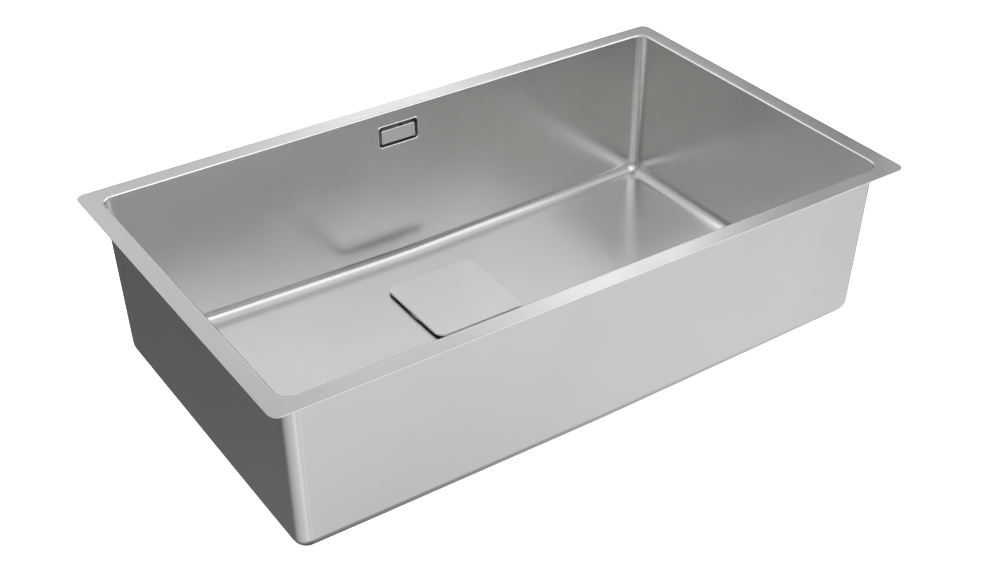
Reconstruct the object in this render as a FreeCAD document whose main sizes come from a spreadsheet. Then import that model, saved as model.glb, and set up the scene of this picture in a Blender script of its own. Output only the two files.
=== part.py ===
import FreeCAD, Part
import Sketcher
import math
import os

from FreeCAD import Placement, Rotation, Vector

# Undermount kitchen sink: a drawn steel bowl with a flat rim that is held under a worktop,
# its basket waste with a square cover plate, and the overflow that feeds the waste through
# a ribbed hose. Millimetres. The origin is the centre of the rim's top face, +X runs to the
# right along the bowl, +Y to the rear wall with the overflow, +Z up.

doc = FreeCAD.newDocument("undermount_sink")
sheet = doc.addObject("Spreadsheet::Sheet", "Sizes")

BEND_45 = math.tan(math.radians(22.5))
ROOT_2 = math.sqrt(2.0)
ROOT_3 = math.sqrt(3.0)


# ---------------------------------------------------------------- sizes


class Size:
    """A length together with the sheet expression that gives it."""

    def __init__(self, text, number):
        self.text = text
        self.number = float(number)

    def __add__(self, other):
        return joined(self, "+", other, lambda a, b: a + b)

    def __radd__(self, other):
        return joined(other, "+", self, lambda a, b: a + b)

    def __sub__(self, other):
        return joined(self, "-", other, lambda a, b: a - b)

    def __rsub__(self, other):
        return joined(other, "-", self, lambda a, b: a - b)

    def __mul__(self, other):
        return joined(self, "*", other, lambda a, b: a * b)

    def __rmul__(self, other):
        return joined(other, "*", self, lambda a, b: a * b)

    def __truediv__(self, other):
        return joined(self, "/", other, lambda a, b: a / b)

    def __neg__(self):
        return joined(-1.0, "*", self, lambda a, b: a * b)


def as_size(value):
    if isinstance(value, Size):
        return value
    return Size("%.9g" % value, value)


def joined(left, sign, right, rule):
    left = as_size(left)
    right = as_size(right)
    text = "(%s %s %s)" % (left.text, sign, right.text)
    return Size(text, rule(left.number, right.number))


def size(alias, value, note):
    """Write one driving size into the sheet and hand it back."""
    row = size.row
    size.row = row + 1
    sheet.set("A%d" % row, note)
    sheet.set("B%d" % row, str(value))
    sheet.setAlias("B%d" % row, alias)
    return Size("Sizes." + alias, value)


size.row = 1

# rim and bowl
ledge_width = size("LedgeWidth", 20.0, "flat rim, from the bowl's mouth to its edge")
rim_corner = size("RimCorner", 10.0, "radius of the rim's outer corners")
bowl_length = size("BowlLength", 710.0, "mouth of the bowl, along the sink")
bowl_width = size("BowlWidth", 400.0, "mouth of the bowl, front to rear")
bowl_corner = size("BowlCorner", 15.0, "radius of the bowl's upright corners")
steel = size("Sheet", 1.0, "thickness of the steel sheet")
rim_bend = size("RimBend", 0.9, "slope over the bend from rim to wall")
bowl_depth = size("BowlDepth", 200.0, "rim top to the underside of the drain recess")
recess_drop = size("RecessDrop", 0.8, "lowest floor to the flat seat round the drain")
wall_draft = size("WallDraft", 5.9, "how far each wall leans in over its depth")
floor_corner = size("FloorCorner", 14.0, "radius between walls and floor")
front_sag = size("FrontSag", 3.9, "fall of the floor to the middle of the front wall")
drain_sag = size("DrainSag", 10.6, "fall of the floor to the drain")
rear_sag = size("RearSag", 7.5, "fall of the floor to the middle of the rear wall")
drain_back = size("DrainBack", 84.0, "drain behind the middle of the bowl")
drain_hole = size("DrainHole", 45.0, "radius of the hole in the floor")
recess_radius = size("RecessRadius", 57.5, "radius of the flat seat round the drain")

# cover plate
cover_side = size("CoverSide", 116.0, "side of the square cover plate")
cover_corner = size("CoverCorner", 11.0, "radius of its corners")
cover_steel = size("CoverSheet", 1.5, "thickness of the cover plate")
cover_edge = size("CoverEdge", 0.5, "rounding of its upper edge")
cover_gap = size("CoverGap", 4.5, "underside of the cover above the lowest floor")
cover_ring_radius = size("CoverRingRadius", 36.9, "radius of the ring that centres the cover")
cover_ring_wall = size("CoverRingWall", 1.2, "wall of that ring")
cover_ring_drop = size("CoverRingDrop", 10.0, "height of that ring")
foot_side = size("FootSide", 9.0, "side of the square rubber feet")
foot_place = size("FootPlace", 47.0, "feet, from the middle to each side")
foot_lift = size("FootLift", 0.3, "play between the feet and the floor")

# strainer in the drain
seal_thick = size("SealThick", 0.8, "flat seal under the strainer's flange")
seal_inner = size("SealInner", 45.6, "inner radius of both strainer seals")
under_seal = size("UnderSeal", 2.5, "thick seal under the bowl")
strainer_radius = size("StrainerRadius", 56.0, "radius of the strainer's flange")
strainer_steel = size("StrainerSheet", 1.0, "sheet of the strainer")
throat_radius = size("ThroatRadius", 44.5, "where the strainer's seat cone starts")
cup_radius = size("CupRadius", 40.0, "inner radius of the strainer's cup")
cup_depth = size("CupDepth", 42.0, "flange top to the underside of the cup")
window_near = size("WindowNear", 10.0, "outlet windows, from the middle")
window_far = size("WindowFar", 19.0, "outlet windows, to their outer side")
spoke_width = size("SpokeWidth", 4.5, "spokes between the outlet windows")
window_count = 6

# basket
basket_radius = size("BasketRadius", 38.2, "outer radius of the basket")
basket_steel = size("BasketSheet", 0.8, "sheet of the basket")
seat_play = size("SeatPlay", 0.4, "play between the basket's flare and its seat")
rim_play = size("RimPlay", 0.2, "basket's rim below the strainer's flange")
floor_slot_near = size("FloorSlotNear", 28.6, "floor slots, from the middle")
floor_slot_far = size("FloorSlotFar", 33.4, "floor slots, to their outer end")
floor_slot_wide = size("FloorSlotWide", 2.4, "their width")
floor_slot_count = 12
slot_width = size("SlotWidth", 3.0, "slots in the basket's wall")
slot_height = size("SlotHeight", 14.0, "their height")
slot_count = 12
plug_height = size("PlugHeight", 9.0, "rubber plug under the basket")
plug_radius = size("PlugRadius", 27.0, "its outer radius")
plug_wall = size("PlugWall", 4.0, "its standing lip")
plug_top = size("PlugTop", 2.2, "its top")
stem_radius = size("StemRadius", 3.0, "stem through plug, basket and knob")
fit_play = size("FitPlay", 0.05, "radial play of the fitted pins")
knob_radius = size("KnobRadius", 9.0, "radius of the knob's head")
knob_waist = size("KnobWaist", 5.5, "radius of its waist")
knob_head = size("KnobHead", 6.0, "height of its head")
knob_slope = size("KnobSlope", 1.4, "slope round the head's top")
knob_top = size("KnobTop", 0.5, "knob above the strainer's flange")
stem_nut = size("StemNut", 5.0, "half the width of the nut under the plug")
stem_nut_high = size("StemNutHigh", 2.4, "height of that nut")

# clamping screw
screw_radius = size("ScrewRadius", 2.95, "shank of the clamping screw")
screw_head = size("ScrewHead", 5.5, "radius of its head")
screw_head_high = size("ScrewHeadHigh", 2.6, "height of its head")
screw_slot = size("ScrewSlot", 1.4, "width of its slot")
insert_flat = size("InsertFlat", 5.0, "half the width of the moulded-in threaded insert")
insert_length = size("InsertLength", 13.0, "length of the threaded insert")

# waste body under the bowl
body_flange = size("BodyFlange", 58.0, "radius of the waste body's flange")
body_flange_high = size("BodyFlangeHigh", 4.0, "thickness of that flange")
body_radius = size("BodyRadius", 50.0, "outer radius of the waste body")
body_wall = size("BodyWall", 3.0, "its wall")
body_straight = size("BodyStraight", 44.0, "height of its straight wall with the flange")
body_cone = size("BodyCone", 17.0, "height of the cone below")
outlet_radius = size("OutletRadius", 23.9, "outer radius of the threaded outlet")
outlet_bore = size("OutletBore", 19.5, "its bore")
outlet_length = size("OutletLength", 26.0, "its length below the cone")
boss_radius = size("BossRadius", 8.0, "boss that holds the insert")
boss_gap = size("BossGap", 3.5, "cup to boss")
web_thick = size("WebThick", 3.0, "webs that carry the boss")
web_count = 4
gusset_high = size("GussetHigh", 9.0, "height of the gussets under the flange")
gusset_thick = size("GussetThick", 2.0, "their thickness")
gusset_count = 6
port_level = size("PortLevel", 31.0, "side port below the flange's top")
port_reach = size("PortReach", 16.0, "side port beyond the body's wall")

# overflow in the rear wall
overflow_level = size("OverflowLevel", 30.8, "rim top to the middle of the overflow")
trim_length = size("TrimLength", 53.5, "overflow frame, outside")
trim_height = size("TrimHeight", 24.0, "overflow frame, outside")
trim_corner = size("TrimCorner", 3.5, "radius of its corners")
trim_lip = size("TrimLip", 0.6, "lip of the frame beyond its sleeve")
trim_proud = size("TrimProud", 0.8, "thickness of that lip")
trim_wall = size("TrimWall", 0.6, "wall of its sleeve")
trim_reach = size("TrimReach", 9.0, "sleeve behind the wall's inner face")
hole_play = size("HolePlay", 0.1, "play of the sleeve in the wall")
plate_length = size("PlateLength", 44.0, "plate inside the frame")
plate_height = size("PlateHeight", 16.4, "plate inside the frame")
plate_corner = size("PlateCorner", 1.5, "radius of its corners")
plate_thick = size("PlateThick", 1.2, "its thickness")
plate_proud = size("PlateProud", 0.4, "its face before the wall")
stud_place = size("StudPlace", 14.0, "studs, from the middle")
stud_radius = size("StudRadius", 2.0, "radius of the studs")
stud_tail = size("StudTail", 2.0, "stud beyond its nut")
nut_flat = size("NutFlat", 3.5, "half the width of the nuts")
nut_high = size("NutHigh", 3.2, "height of the nuts")
gasket_thick = size("GasketThick", 2.0, "rubber between wall and overflow body")
flange_length = size("FlangeLength", 74.0, "overflow body's flange")
flange_height = size("FlangeHeight", 42.0, "overflow body's flange")
flange_corner = size("FlangeCorner", 7.0, "radius of its corners")
flange_thick = size("FlangeThick", 3.0, "its thickness")
box_length = size("BoxLength", 60.0, "overflow body's chamber, outside")
box_height = size("BoxHeight", 30.0, "overflow body's chamber, outside")
box_depth = size("BoxDepth", 25.0, "its depth behind the flange")
box_wall = size("BoxWall", 2.4, "its wall")
box_corner = size("BoxCorner", 5.0, "radius of its corners")
spout_back = size("SpoutBack", 18.5, "spout's axis behind the wall's inner face")
spout_reach = size("SpoutReach", 16.0, "spout below the chamber")

# hose between them
thread_radius = size("ThreadRadius", 12.0, "outer radius of spout and port")
thread_bore = size("ThreadBore", 8.6, "their bore")
hose_crest = size("HoseCrest", 11.0, "radius over the hose's ribs")
hose_valley = size("HoseValley", 9.7, "radius between the ribs")
hose_bore = size("HoseBore", 8.6, "its bore")
hose_collar = size("HoseCollar", 11.8, "radius of its collars")
collar_thick = size("CollarThick", 1.6, "thickness of its collars")
rib_pitch = size("RibPitch", 7.0, "distance from rib to rib")
bend_radius = size("BendRadius", 38.0, "bend under the bowl")
ring_thick = size("RingThick", 1.6, "flat seal at each end")
cap_flat = size("CapFlat", 15.0, "half the width of the two cap nuts")
cap_length = size("CapLength", 14.0, "length of the cap nuts")
cap_end = size("CapEnd", 2.4, "end wall of the cap nuts")
cap_play = size("CapPlay", 0.3, "play round the threads")

# deadening pads
pad_length = size("PadLength", 220.0, "pad under the floor, along the sink")
pad_width = size("PadWidth", 260.0, "pad, front to rear")
pad_corner = size("PadCorner", 20.0, "radius of its corners")
pad_margin = size("PadMargin", 45.0, "pad from the end of the bowl's mouth")
pad_thick = size("PadThick", 2.5, "its thickness")
pad_glue = size("PadGlue", 0.05, "glue line")

doc.recompute()

# levels and places that several pieces share
ZERO = as_size(0.0)
rim_length = bowl_length + 2 * ledge_width
rim_width = bowl_width + 2 * ledge_width
pad_place = bowl_length / 2 - pad_margin - pad_length / 2
wall_depth = bowl_depth - steel - recess_drop - drain_sag
seat_level = -(bowl_depth - steel)
floor_level = -(wall_depth + drain_sag)
cover_under = floor_level + cover_gap
# the floor rises from the drain most steeply on the rear facets, under the rear feet
rear_rise = (drain_sag - rear_sag) / (bowl_width / 2 - drain_back)
foot_fall = rear_rise + rear_sag / (bowl_length / 2)
foot_level = floor_level + (foot_place + foot_side / 2) * foot_fall + foot_lift
foot_height = cover_under - foot_level
flange_top = seat_level + seal_thick + strainer_steel
cup_under = flange_top - cup_depth
cup_floor = cup_under + strainer_steel
cone_drop = throat_radius - cup_radius
basket_under = cup_floor + plug_height
body_top = -bowl_depth - under_seal
boss_top = cup_under - boss_gap
port_axis = body_top - port_level
port_end = body_radius + port_reach
wall_lean = wall_draft / wall_depth
lean_angle = Size("atan(%s)" % wall_lean.text, math.degrees(math.atan(wall_lean.number)))
lean_radians = math.radians(lean_angle.number)
lean_cos = Size("cos(%s)" % lean_angle.text, math.cos(lean_radians))
lean_sin = Size("sin(%s)" % lean_angle.text, math.sin(lean_radians))
overflow_face = bowl_width / 2 - overflow_level * wall_lean
flange_face = steel + gasket_thick
box_back = flange_face + flange_thick + box_depth
spout_end = -(box_height / 2 + spout_reach)
sleeve_length = trim_length - 2 * trim_lip
sleeve_height = trim_height - 2 * trim_lip
sleeve_corner = trim_corner - trim_lip


# ---------------------------------------------------------------- helpers


def bind(thing, name, value):
    """Give a property its number and tie it to the sheet."""
    value = as_size(value)
    if "." not in name:
        setattr(thing, name, value.number)
    if value.text != "%.9g" % value.number:
        thing.setExpression(name, value.text)


def new_body(name):
    body = doc.addObject("PartDesign::Body", name)
    body.Label = name
    return body


def drain_body(name):
    """A body whose own Z axis is the drain's axis."""
    body = new_body(name)
    body.Placement = Placement(Vector(0, drain_back.number, 0), Rotation())
    body.setExpression("Placement.Base.y", drain_back.text)
    return body


def placed_body(name, back, level, axis, angle):
    """A body in the plane x = 0, turned about the X axis by an angle."""
    body = new_body(name)
    base = Vector(0, back.number, level.number)
    body.Placement = Placement(base, Rotation(Vector(axis, 0, 0), angle.number))
    body.setExpression("Placement.Base.y", back.text)
    body.setExpression("Placement.Base.z", level.text)
    if "Sizes" in angle.text:
        body.setExpression("Placement.Rotation.Angle", angle.text)
    return body


def wall_body(name):
    """A body whose own XZ plane lies on the leaning inner face of the rear wall."""
    return placed_body(name, overflow_face, -overflow_level, -1, lean_angle)


def spout_body(name):
    """A body on the spout of the overflow: its origin in the spout's end, +Z into the spout."""
    back = overflow_face + spout_back * lean_cos + spout_end * lean_sin
    level = spout_end * lean_cos - spout_back * lean_sin - overflow_level
    return placed_body(name, back, level, -1, lean_angle)


def port_body(name):
    """A body on the waste body's side port: its origin in the port's end, +Z into the port."""
    return placed_body(name, drain_back + port_end, port_axis, 1, as_size(90.0))


def origin_part(body, role):
    for feature in body.Origin.OriginFeatures:
        if feature.Role == role:
            return feature
    raise ValueError(role)


def new_sketch(body, name, role, shift=(0.0, 0.0, 0.0)):
    """A sketch on one of the body's own planes, shifted in that plane's axes."""
    sketch = body.newObject("Sketcher::SketchObject", name)
    sketch.AttachmentSupport = (origin_part(body, role), [""])
    sketch.MapMode = "FlatFace"
    parts = [as_size(value) for value in shift]
    sketch.AttachmentOffset = Placement(Vector(*[part.number for part in parts]), Rotation())
    for axis, part in zip("xyz", parts):
        if part.text != "%.9g" % part.number:
            sketch.setExpression("AttachmentOffset.Base." + axis, part.text)
    return sketch


def rule(sketch, kind, *items):
    """Add one constraint; a last item that is a Size becomes its bound value."""
    if not isinstance(items[-1], Size):
        return sketch.addConstraint(Sketcher.Constraint(kind, *items))
    value = items[-1]
    index = sketch.addConstraint(Sketcher.Constraint(kind, *items[:-1], value.number))
    if "Sizes" in value.text:
        label = "d%d" % index
        sketch.renameConstraint(index, label)
        sketch.setExpression("Constraints." + label, value.text)
    return index


def pin(sketch, item, spot, across, up):
    """Hold a point of the sketch at (across, up) from its origin."""
    if across.number == 0.0:
        rule(sketch, "PointOnObject", item, spot, -2)
    else:
        rule(sketch, "DistanceX", -1, 1, item, spot, across)
    if up.number == 0.0:
        rule(sketch, "PointOnObject", item, spot, -1)
    else:
        rule(sketch, "DistanceY", -1, 1, item, spot, up)


def add_outline(sketch, corners):
    """Closed outline through corners (across, up) or rounded corners (across, up, radius)."""
    base = sketch.GeometryCount
    corners = [tuple(as_size(value) for value in corner) for corner in corners]
    points = [Vector(corner[0].number, corner[1].number, 0) for corner in corners]
    count = len(corners)
    enter = []
    leave = []
    for i in range(count):
        back = (points[i - 1] - points[i]).normalize()
        ahead = (points[(i + 1) % count] - points[i]).normalize()
        cut = 0.0
        if len(corners[i]) == 3:
            cut = corners[i][2].number / math.tan(back.getAngle(ahead) / 2)
        enter.append(points[i] + back * cut)
        leave.append(points[i] + ahead * cut)
    for i in range(count):
        sketch.addGeometry(Part.LineSegment(leave[i], enter[(i + 1) % count]))
    for i in range(count):
        before = base + (i - 1) % count
        after = base + i
        if len(corners[i]) == 2:
            rule(sketch, "Coincident", before, 2, after, 1)
            pin(sketch, after, 1, corners[i][0], corners[i][1])
            continue
        back = (points[i - 1] - points[i]).normalize()
        ahead = (points[(i + 1) % count] - points[i]).normalize()
        radius = corners[i][2].number
        reach = radius / math.sin(back.getAngle(ahead) / 2)
        centre = points[i] + (back + ahead).normalize() * reach
        left_turn = back.cross(ahead).z < 0
        first, last = (enter[i], leave[i]) if left_turn else (leave[i], enter[i])
        start = math.atan2(first.y - centre.y, first.x - centre.x)
        end = math.atan2(last.y - centre.y, last.x - centre.x)
        circle = Part.Circle(centre, Vector(0, 0, 1), radius)
        arc = sketch.addGeometry(Part.ArcOfCircle(circle, start, end))
        spot = sketch.addGeometry(Part.Point(points[i]), True)
        rule(sketch, "Tangent", before, 2, arc, 1 if left_turn else 2)
        rule(sketch, "Tangent", arc, 2 if left_turn else 1, after, 1)
        rule(sketch, "Radius", arc, corners[i][2])
        rule(sketch, "PointOnObject", spot, 1, before)
        rule(sketch, "PointOnObject", spot, 1, after)
        pin(sketch, spot, 1, corners[i][0], corners[i][1])


def profile(body, name, role, corners, shift=(0.0, 0.0, 0.0)):
    """One closed outline in a sketch of its own."""
    sketch = new_sketch(body, name, role, shift)
    add_outline(sketch, corners)
    return sketch


def rounded_rectangle(body, name, role, length, height, radius, shift=(0.0, 0.0, 0.0)):
    """Rectangle about the sketch's origin with four equal rounded corners."""
    right = length / 2
    top = height / 2
    corners = [(right, top, radius), (-right, top, radius)]
    corners += [(-right, -top, radius), (right, -top, radius)]
    return profile(body, name, role, corners, shift)


def add_circle(sketch, across, up, radius):
    across = as_size(across)
    up = as_size(up)
    radius = as_size(radius)
    middle = Vector(across.number, up.number, 0)
    item = sketch.addGeometry(Part.Circle(middle, Vector(0, 0, 1), radius.number))
    rule(sketch, "Radius", item, radius)
    pin(sketch, item, 3, across, up)


def circles(body, name, role, rings, shift=(0.0, 0.0, 0.0)):
    """Circles (across, up, radius) in one sketch."""
    sketch = new_sketch(body, name, role, shift)
    for across, up, radius in rings:
        add_circle(sketch, across, up, radius)
    return sketch


def pad(body, name, sketch, length, down=False):
    feature = body.newObject("PartDesign::Pad", name)
    feature.Profile = sketch
    feature.Reversed = down
    bind(feature, "Length", length)
    return feature


def pocket(body, name, sketch, length=None, other_way=False):
    """Cut against the sketch's normal, through everything when no length is given."""
    feature = body.newObject("PartDesign::Pocket", name)
    feature.Profile = sketch
    feature.Reversed = other_way
    if length is None:
        feature.Type = "ThroughAll"
    else:
        bind(feature, "Length", length)
    return feature


def revolve(body, name, sketch, cut=False):
    kind = "PartDesign::Groove" if cut else "PartDesign::Revolution"
    feature = body.newObject(kind, name)
    feature.Profile = sketch
    feature.ReferenceAxis = (sketch, ["V_Axis"])
    feature.Angle = 360.0
    return feature


def polar(body, name, original, count, angle=360.0, axis="Z_Axis"):
    feature = body.newObject("PartDesign::PolarPattern", name)
    feature.Originals = [original]
    feature.Axis = (origin_part(body, axis), [""])
    feature.Angle = angle
    feature.Occurrences = count
    body.Tip = feature
    return feature


def dress_edges(body, kind, name, base, amount, wanted):
    """Fillet or Chamfer those edges of the base feature that the test picks."""
    doc.recompute()
    names = []
    for index, edge in enumerate(base.Shape.Edges, start=1):
        if wanted(edge):
            names.append("Edge%d" % index)
    if not names:
        raise ValueError(name + ": no edge found")
    feature = body.newObject("PartDesign::" + kind, name)
    feature.Base = (base, names)
    bind(feature, "Radius" if kind == "Fillet" else "Size", amount)
    return feature


def hexagon(flat):
    """Corners of a hexagon whose flats lie flat from the middle."""
    tip = flat * (2.0 / ROOT_3)
    half = tip / 2
    return [(tip, ZERO), (half, flat), (-half, flat), (-tip, ZERO), (-half, -flat), (half, -flat)]


# ---------------------------------------------------------------- bowl


def below_floor(name, skin):
    """Solid whose top is the fan of flat facets that fall from the walls to the drain."""
    half_length = bowl_length.number / 2
    half_width = bowl_width.number / 2
    corner = -(wall_depth + skin).number
    drain = Vector(0, drain_back.number, (floor_level - skin).number)
    edge = [
        Vector(-half_length, -half_width, corner),
        Vector(0, -half_width, corner - front_sag.number),
        Vector(half_length, -half_width, corner),
        Vector(half_length, half_width, corner),
        Vector(0, half_width, corner - rear_sag.number),
        Vector(-half_length, half_width, corner),
    ]
    # the creases run on past the walls, so that the fan is wider than the bowl
    beyond = 1 + 2 * rim_corner.number / half_width
    edge = [drain + (point - drain) * beyond for point in edge]
    low = -(bowl_depth + 4 * floor_corner).number
    foot = [Vector(point.x, point.y, low) for point in edge]
    sides = [Part.Face(Part.makePolygon(foot + foot[:1]))]
    for i in range(len(edge)):
        j = (i + 1) % len(edge)
        sides.append(Part.Face(Part.makePolygon([edge[i], edge[j], drain, edge[i]])))
        sides.append(Part.Face(Part.makePolygon([edge[i], foot[i], foot[j], edge[j], edge[i]])))
    solid = Part.Solid(Part.Shell(sides))
    if solid.Volume < 0:
        solid.reverse()
    block = doc.addObject("Part::Feature", name + "_block")
    block.Shape = solid
    body = new_body(name)
    body.BaseFeature = block
    return body


def bowl_block(body, skin):
    """Drafted block with upright corners and the falling floor, grown outward by a skin."""
    low = bowl_depth + 2 * floor_corner
    length = bowl_length + 2 * skin
    width = bowl_width + 2 * skin
    mouth = profile(
        body,
        "mouth",
        "XY_Plane",
        [
            (length / 2, width / 2),
            (-length / 2, width / 2),
            (-length / 2, -width / 2),
            (length / 2, -width / 2),
        ],
    )
    block = pad(body, "block", mouth, low, down=True)
    doc.recompute()
    sides = []
    for index, face in enumerate(block.Shape.Faces, start=1):
        if face.BoundBox.ZLength > floor_corner.number:
            sides.append("Face%d" % index)
    draft = body.newObject("PartDesign::Draft", "draft")
    draft.Base = (block, sides)
    draft.NeutralPlane = (origin_part(body, "XY_Plane"), [""])
    draft.Reversed = True
    bind(draft, "Angle", lean_angle)
    dress_edges(
        body,
        "Fillet",
        "upright_corners",
        draft,
        bowl_corner + skin,
        lambda edge: edge.BoundBox.ZLength > low.number / 2,
    )
    fall = body.newObject("PartDesign::Boolean", "falling_floor")
    fall.setObjects([below_floor(body.Label + "_fan", skin)])
    fall.Type = "Cut"
    return fall


def make_bowl():
    inside = new_body("bowl_inside")
    bowl_block(inside, ZERO)
    body = new_body("bowl")
    bowl_block(body, steel)
    rim = rounded_rectangle(body, "rim_outline", "XY_Plane", rim_length, rim_width, rim_corner)
    pad(body, "rim", rim, steel, down=True)
    hollow = body.newObject("PartDesign::Boolean", "hollow")
    hollow.setObjects([inside])
    hollow.Type = "Cut"
    doc.recompute()

    def floor_edges(shape, up):
        """Edges between the walls and the floor facets that face up, or those that face down."""
        facets = []
        for face in shape.Faces:
            steep = face.normalAt(0, 0).z * up < 0.9
            if not steep and face.CenterOfMass.z < -wall_depth.number:
                facets.append(face)
        return lambda edge: (
            sum(any(edge.isSame(other) for other in face.Edges) for face in facets) == 1
        )

    wanted = floor_edges(hollow.Shape, 1)
    inner = dress_edges(body, "Fillet", "floor_rounding", hollow, floor_corner, wanted)
    doc.recompute()
    wanted = floor_edges(inner.Shape, -1)
    outside = floor_corner + steel
    outer = dress_edges(body, "Fillet", "outer_rounding", inner, outside, wanted)
    half_length = (bowl_length / 2 + 2 * steel).number
    half_width = (bowl_width / 2 + 2 * steel).number

    def at_mouth(edge):
        points = [end.Point for end in edge.Vertexes] + [edge.CenterOfMass]
        flat = all(abs(point.z) < 1e-3 for point in points)
        inside = all(abs(point.x) < half_length and abs(point.y) < half_width for point in points)
        return flat and inside

    dress_edges(body, "Chamfer", "bend_over_rim", outer, rim_bend, at_mouth)

    # the drain recess is pressed down: a dish of sheet is added below and its inside is cut
    fall = drain_sag / (bowl_length / 2)
    bottom = seat_level - steel
    middle = floor_level + recess_radius * fall - steel / 2
    top = floor_level + floor_corner / 2
    seat = recess_radius + BEND_45 * steel
    shift = (0.0, 0.0, -drain_back)
    added = profile(
        body,
        "recess_outside",
        "XZ_Plane",
        [(ZERO, middle), (ZERO, bottom), (seat, bottom), (seat + (middle - bottom), middle)],
        shift,
    )
    revolve(body, "recess", added)
    seat = recess_radius
    taken = profile(
        body,
        "recess_inside",
        "XZ_Plane",
        [(ZERO, top), (ZERO, seat_level), (seat, seat_level), (seat + (top - seat_level), top)],
        shift,
    )
    revolve(body, "recess_hollow", taken, cut=True)

    drain = circles(body, "drain_hole", "XY_Plane", [(ZERO, drain_back, drain_hole)])
    pocket(body, "drain", drain)
    # the outline of the overflow's hole stands in front of the wall, square to its lean
    shift = (
        0.0,
        floor_corner * lean_sin - overflow_level,
        floor_corner * lean_cos - overflow_face,
    )
    sketch = rounded_rectangle(
        body,
        "overflow_hole",
        "XZ_Plane",
        sleeve_length + 2 * hole_play,
        sleeve_height + 2 * hole_play,
        sleeve_corner + hole_play,
        shift,
    )
    offset = sketch.AttachmentOffset
    offset.Rotation = Rotation(Vector(-1, 0, 0), lean_angle.number)
    sketch.AttachmentOffset = offset
    sketch.setExpression("AttachmentOffset.Rotation.Angle", lean_angle.text)
    pocket(body, "overflow", sketch, 2 * floor_corner)
    return body


# ---------------------------------------------------------------- cover plate


def make_cover():
    plate = drain_body("cover_plate")
    outline = rounded_rectangle(
        plate, "outline", "XY_Plane", cover_side, cover_side, cover_corner, (0, 0, cover_under)
    )
    solid = pad(plate, "plate", outline, cover_steel)
    upper = (cover_under + cover_steel).number
    dress_edges(
        plate,
        "Chamfer",
        "upper_edge",
        solid,
        cover_edge,
        lambda edge: edge.BoundBox.ZMin > upper - 1e-4,
    )

    ring = drain_body("cover_ring")
    round_outer = (ZERO, ZERO, cover_ring_radius)
    round_inner = (ZERO, ZERO, cover_ring_radius - cover_ring_wall)
    level = (0, 0, cover_under)
    outline = circles(ring, "ring_outline", "XY_Plane", [round_outer, round_inner], level)
    pad(ring, "ring", outline, cover_ring_drop, down=True)

    feet = drain_body("cover_feet")
    outline = new_sketch(feet, "feet_outline", "XY_Plane", level)
    half = foot_side / 2
    for across in (foot_place, -foot_place):
        for up in (foot_place, -foot_place):
            corners = [(across + half, up + half), (across - half, up + half)]
            corners += [(across - half, up - half), (across + half, up - half)]
            add_outline(outline, corners)
    pad(feet, "feet", outline, foot_height, down=True)
    return [plate, ring, feet]


# ---------------------------------------------------------------- strainer


def flat_ring(name, level, height, outer, inner, place=drain_body, down=False):
    body = place(name)
    rings = [(ZERO, ZERO, outer), (ZERO, ZERO, inner)]
    pad(body, "ring", circles(body, "outline", "XY_Plane", rings, (0, 0, level)), height, down)
    return body


def make_strainer():
    cup = drain_body("strainer_cup")
    sheet_bend = BEND_45 * strainer_steel
    seat_low = flange_top - cone_drop
    outer = cup_radius + strainer_steel
    under = flange_top - strainer_steel
    section = profile(
        cup,
        "section",
        "XZ_Plane",
        [
            (strainer_radius, flange_top),
            (throat_radius, flange_top),
            (cup_radius, seat_low),
            (cup_radius, cup_floor),
            (screw_radius + fit_play, cup_floor),
            (screw_radius + fit_play, cup_under),
            (outer, cup_under),
            (outer, seat_low - sheet_bend),
            (throat_radius + sheet_bend, under),
            (strainer_radius, under),
        ],
    )
    revolve(cup, "cup", section)
    near = (window_near - spoke_width) / ROOT_3
    far = (window_far - spoke_width) / ROOT_3
    corners = [(window_far, far), (window_near, near), (window_near, -near), (window_far, -far)]
    window = profile(cup, "window_outline", "XY_Plane", corners, (0, 0, cup_floor))
    polar(cup, "windows", pocket(cup, "window", window), window_count)
    return [
        cup,
        flat_ring("strainer_seal_top", seat_level, seal_thick, strainer_radius, seal_inner),
        flat_ring(
            "strainer_seal_under", -bowl_depth, under_seal, body_flange, seal_inner, down=True
        ),
    ]


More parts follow.
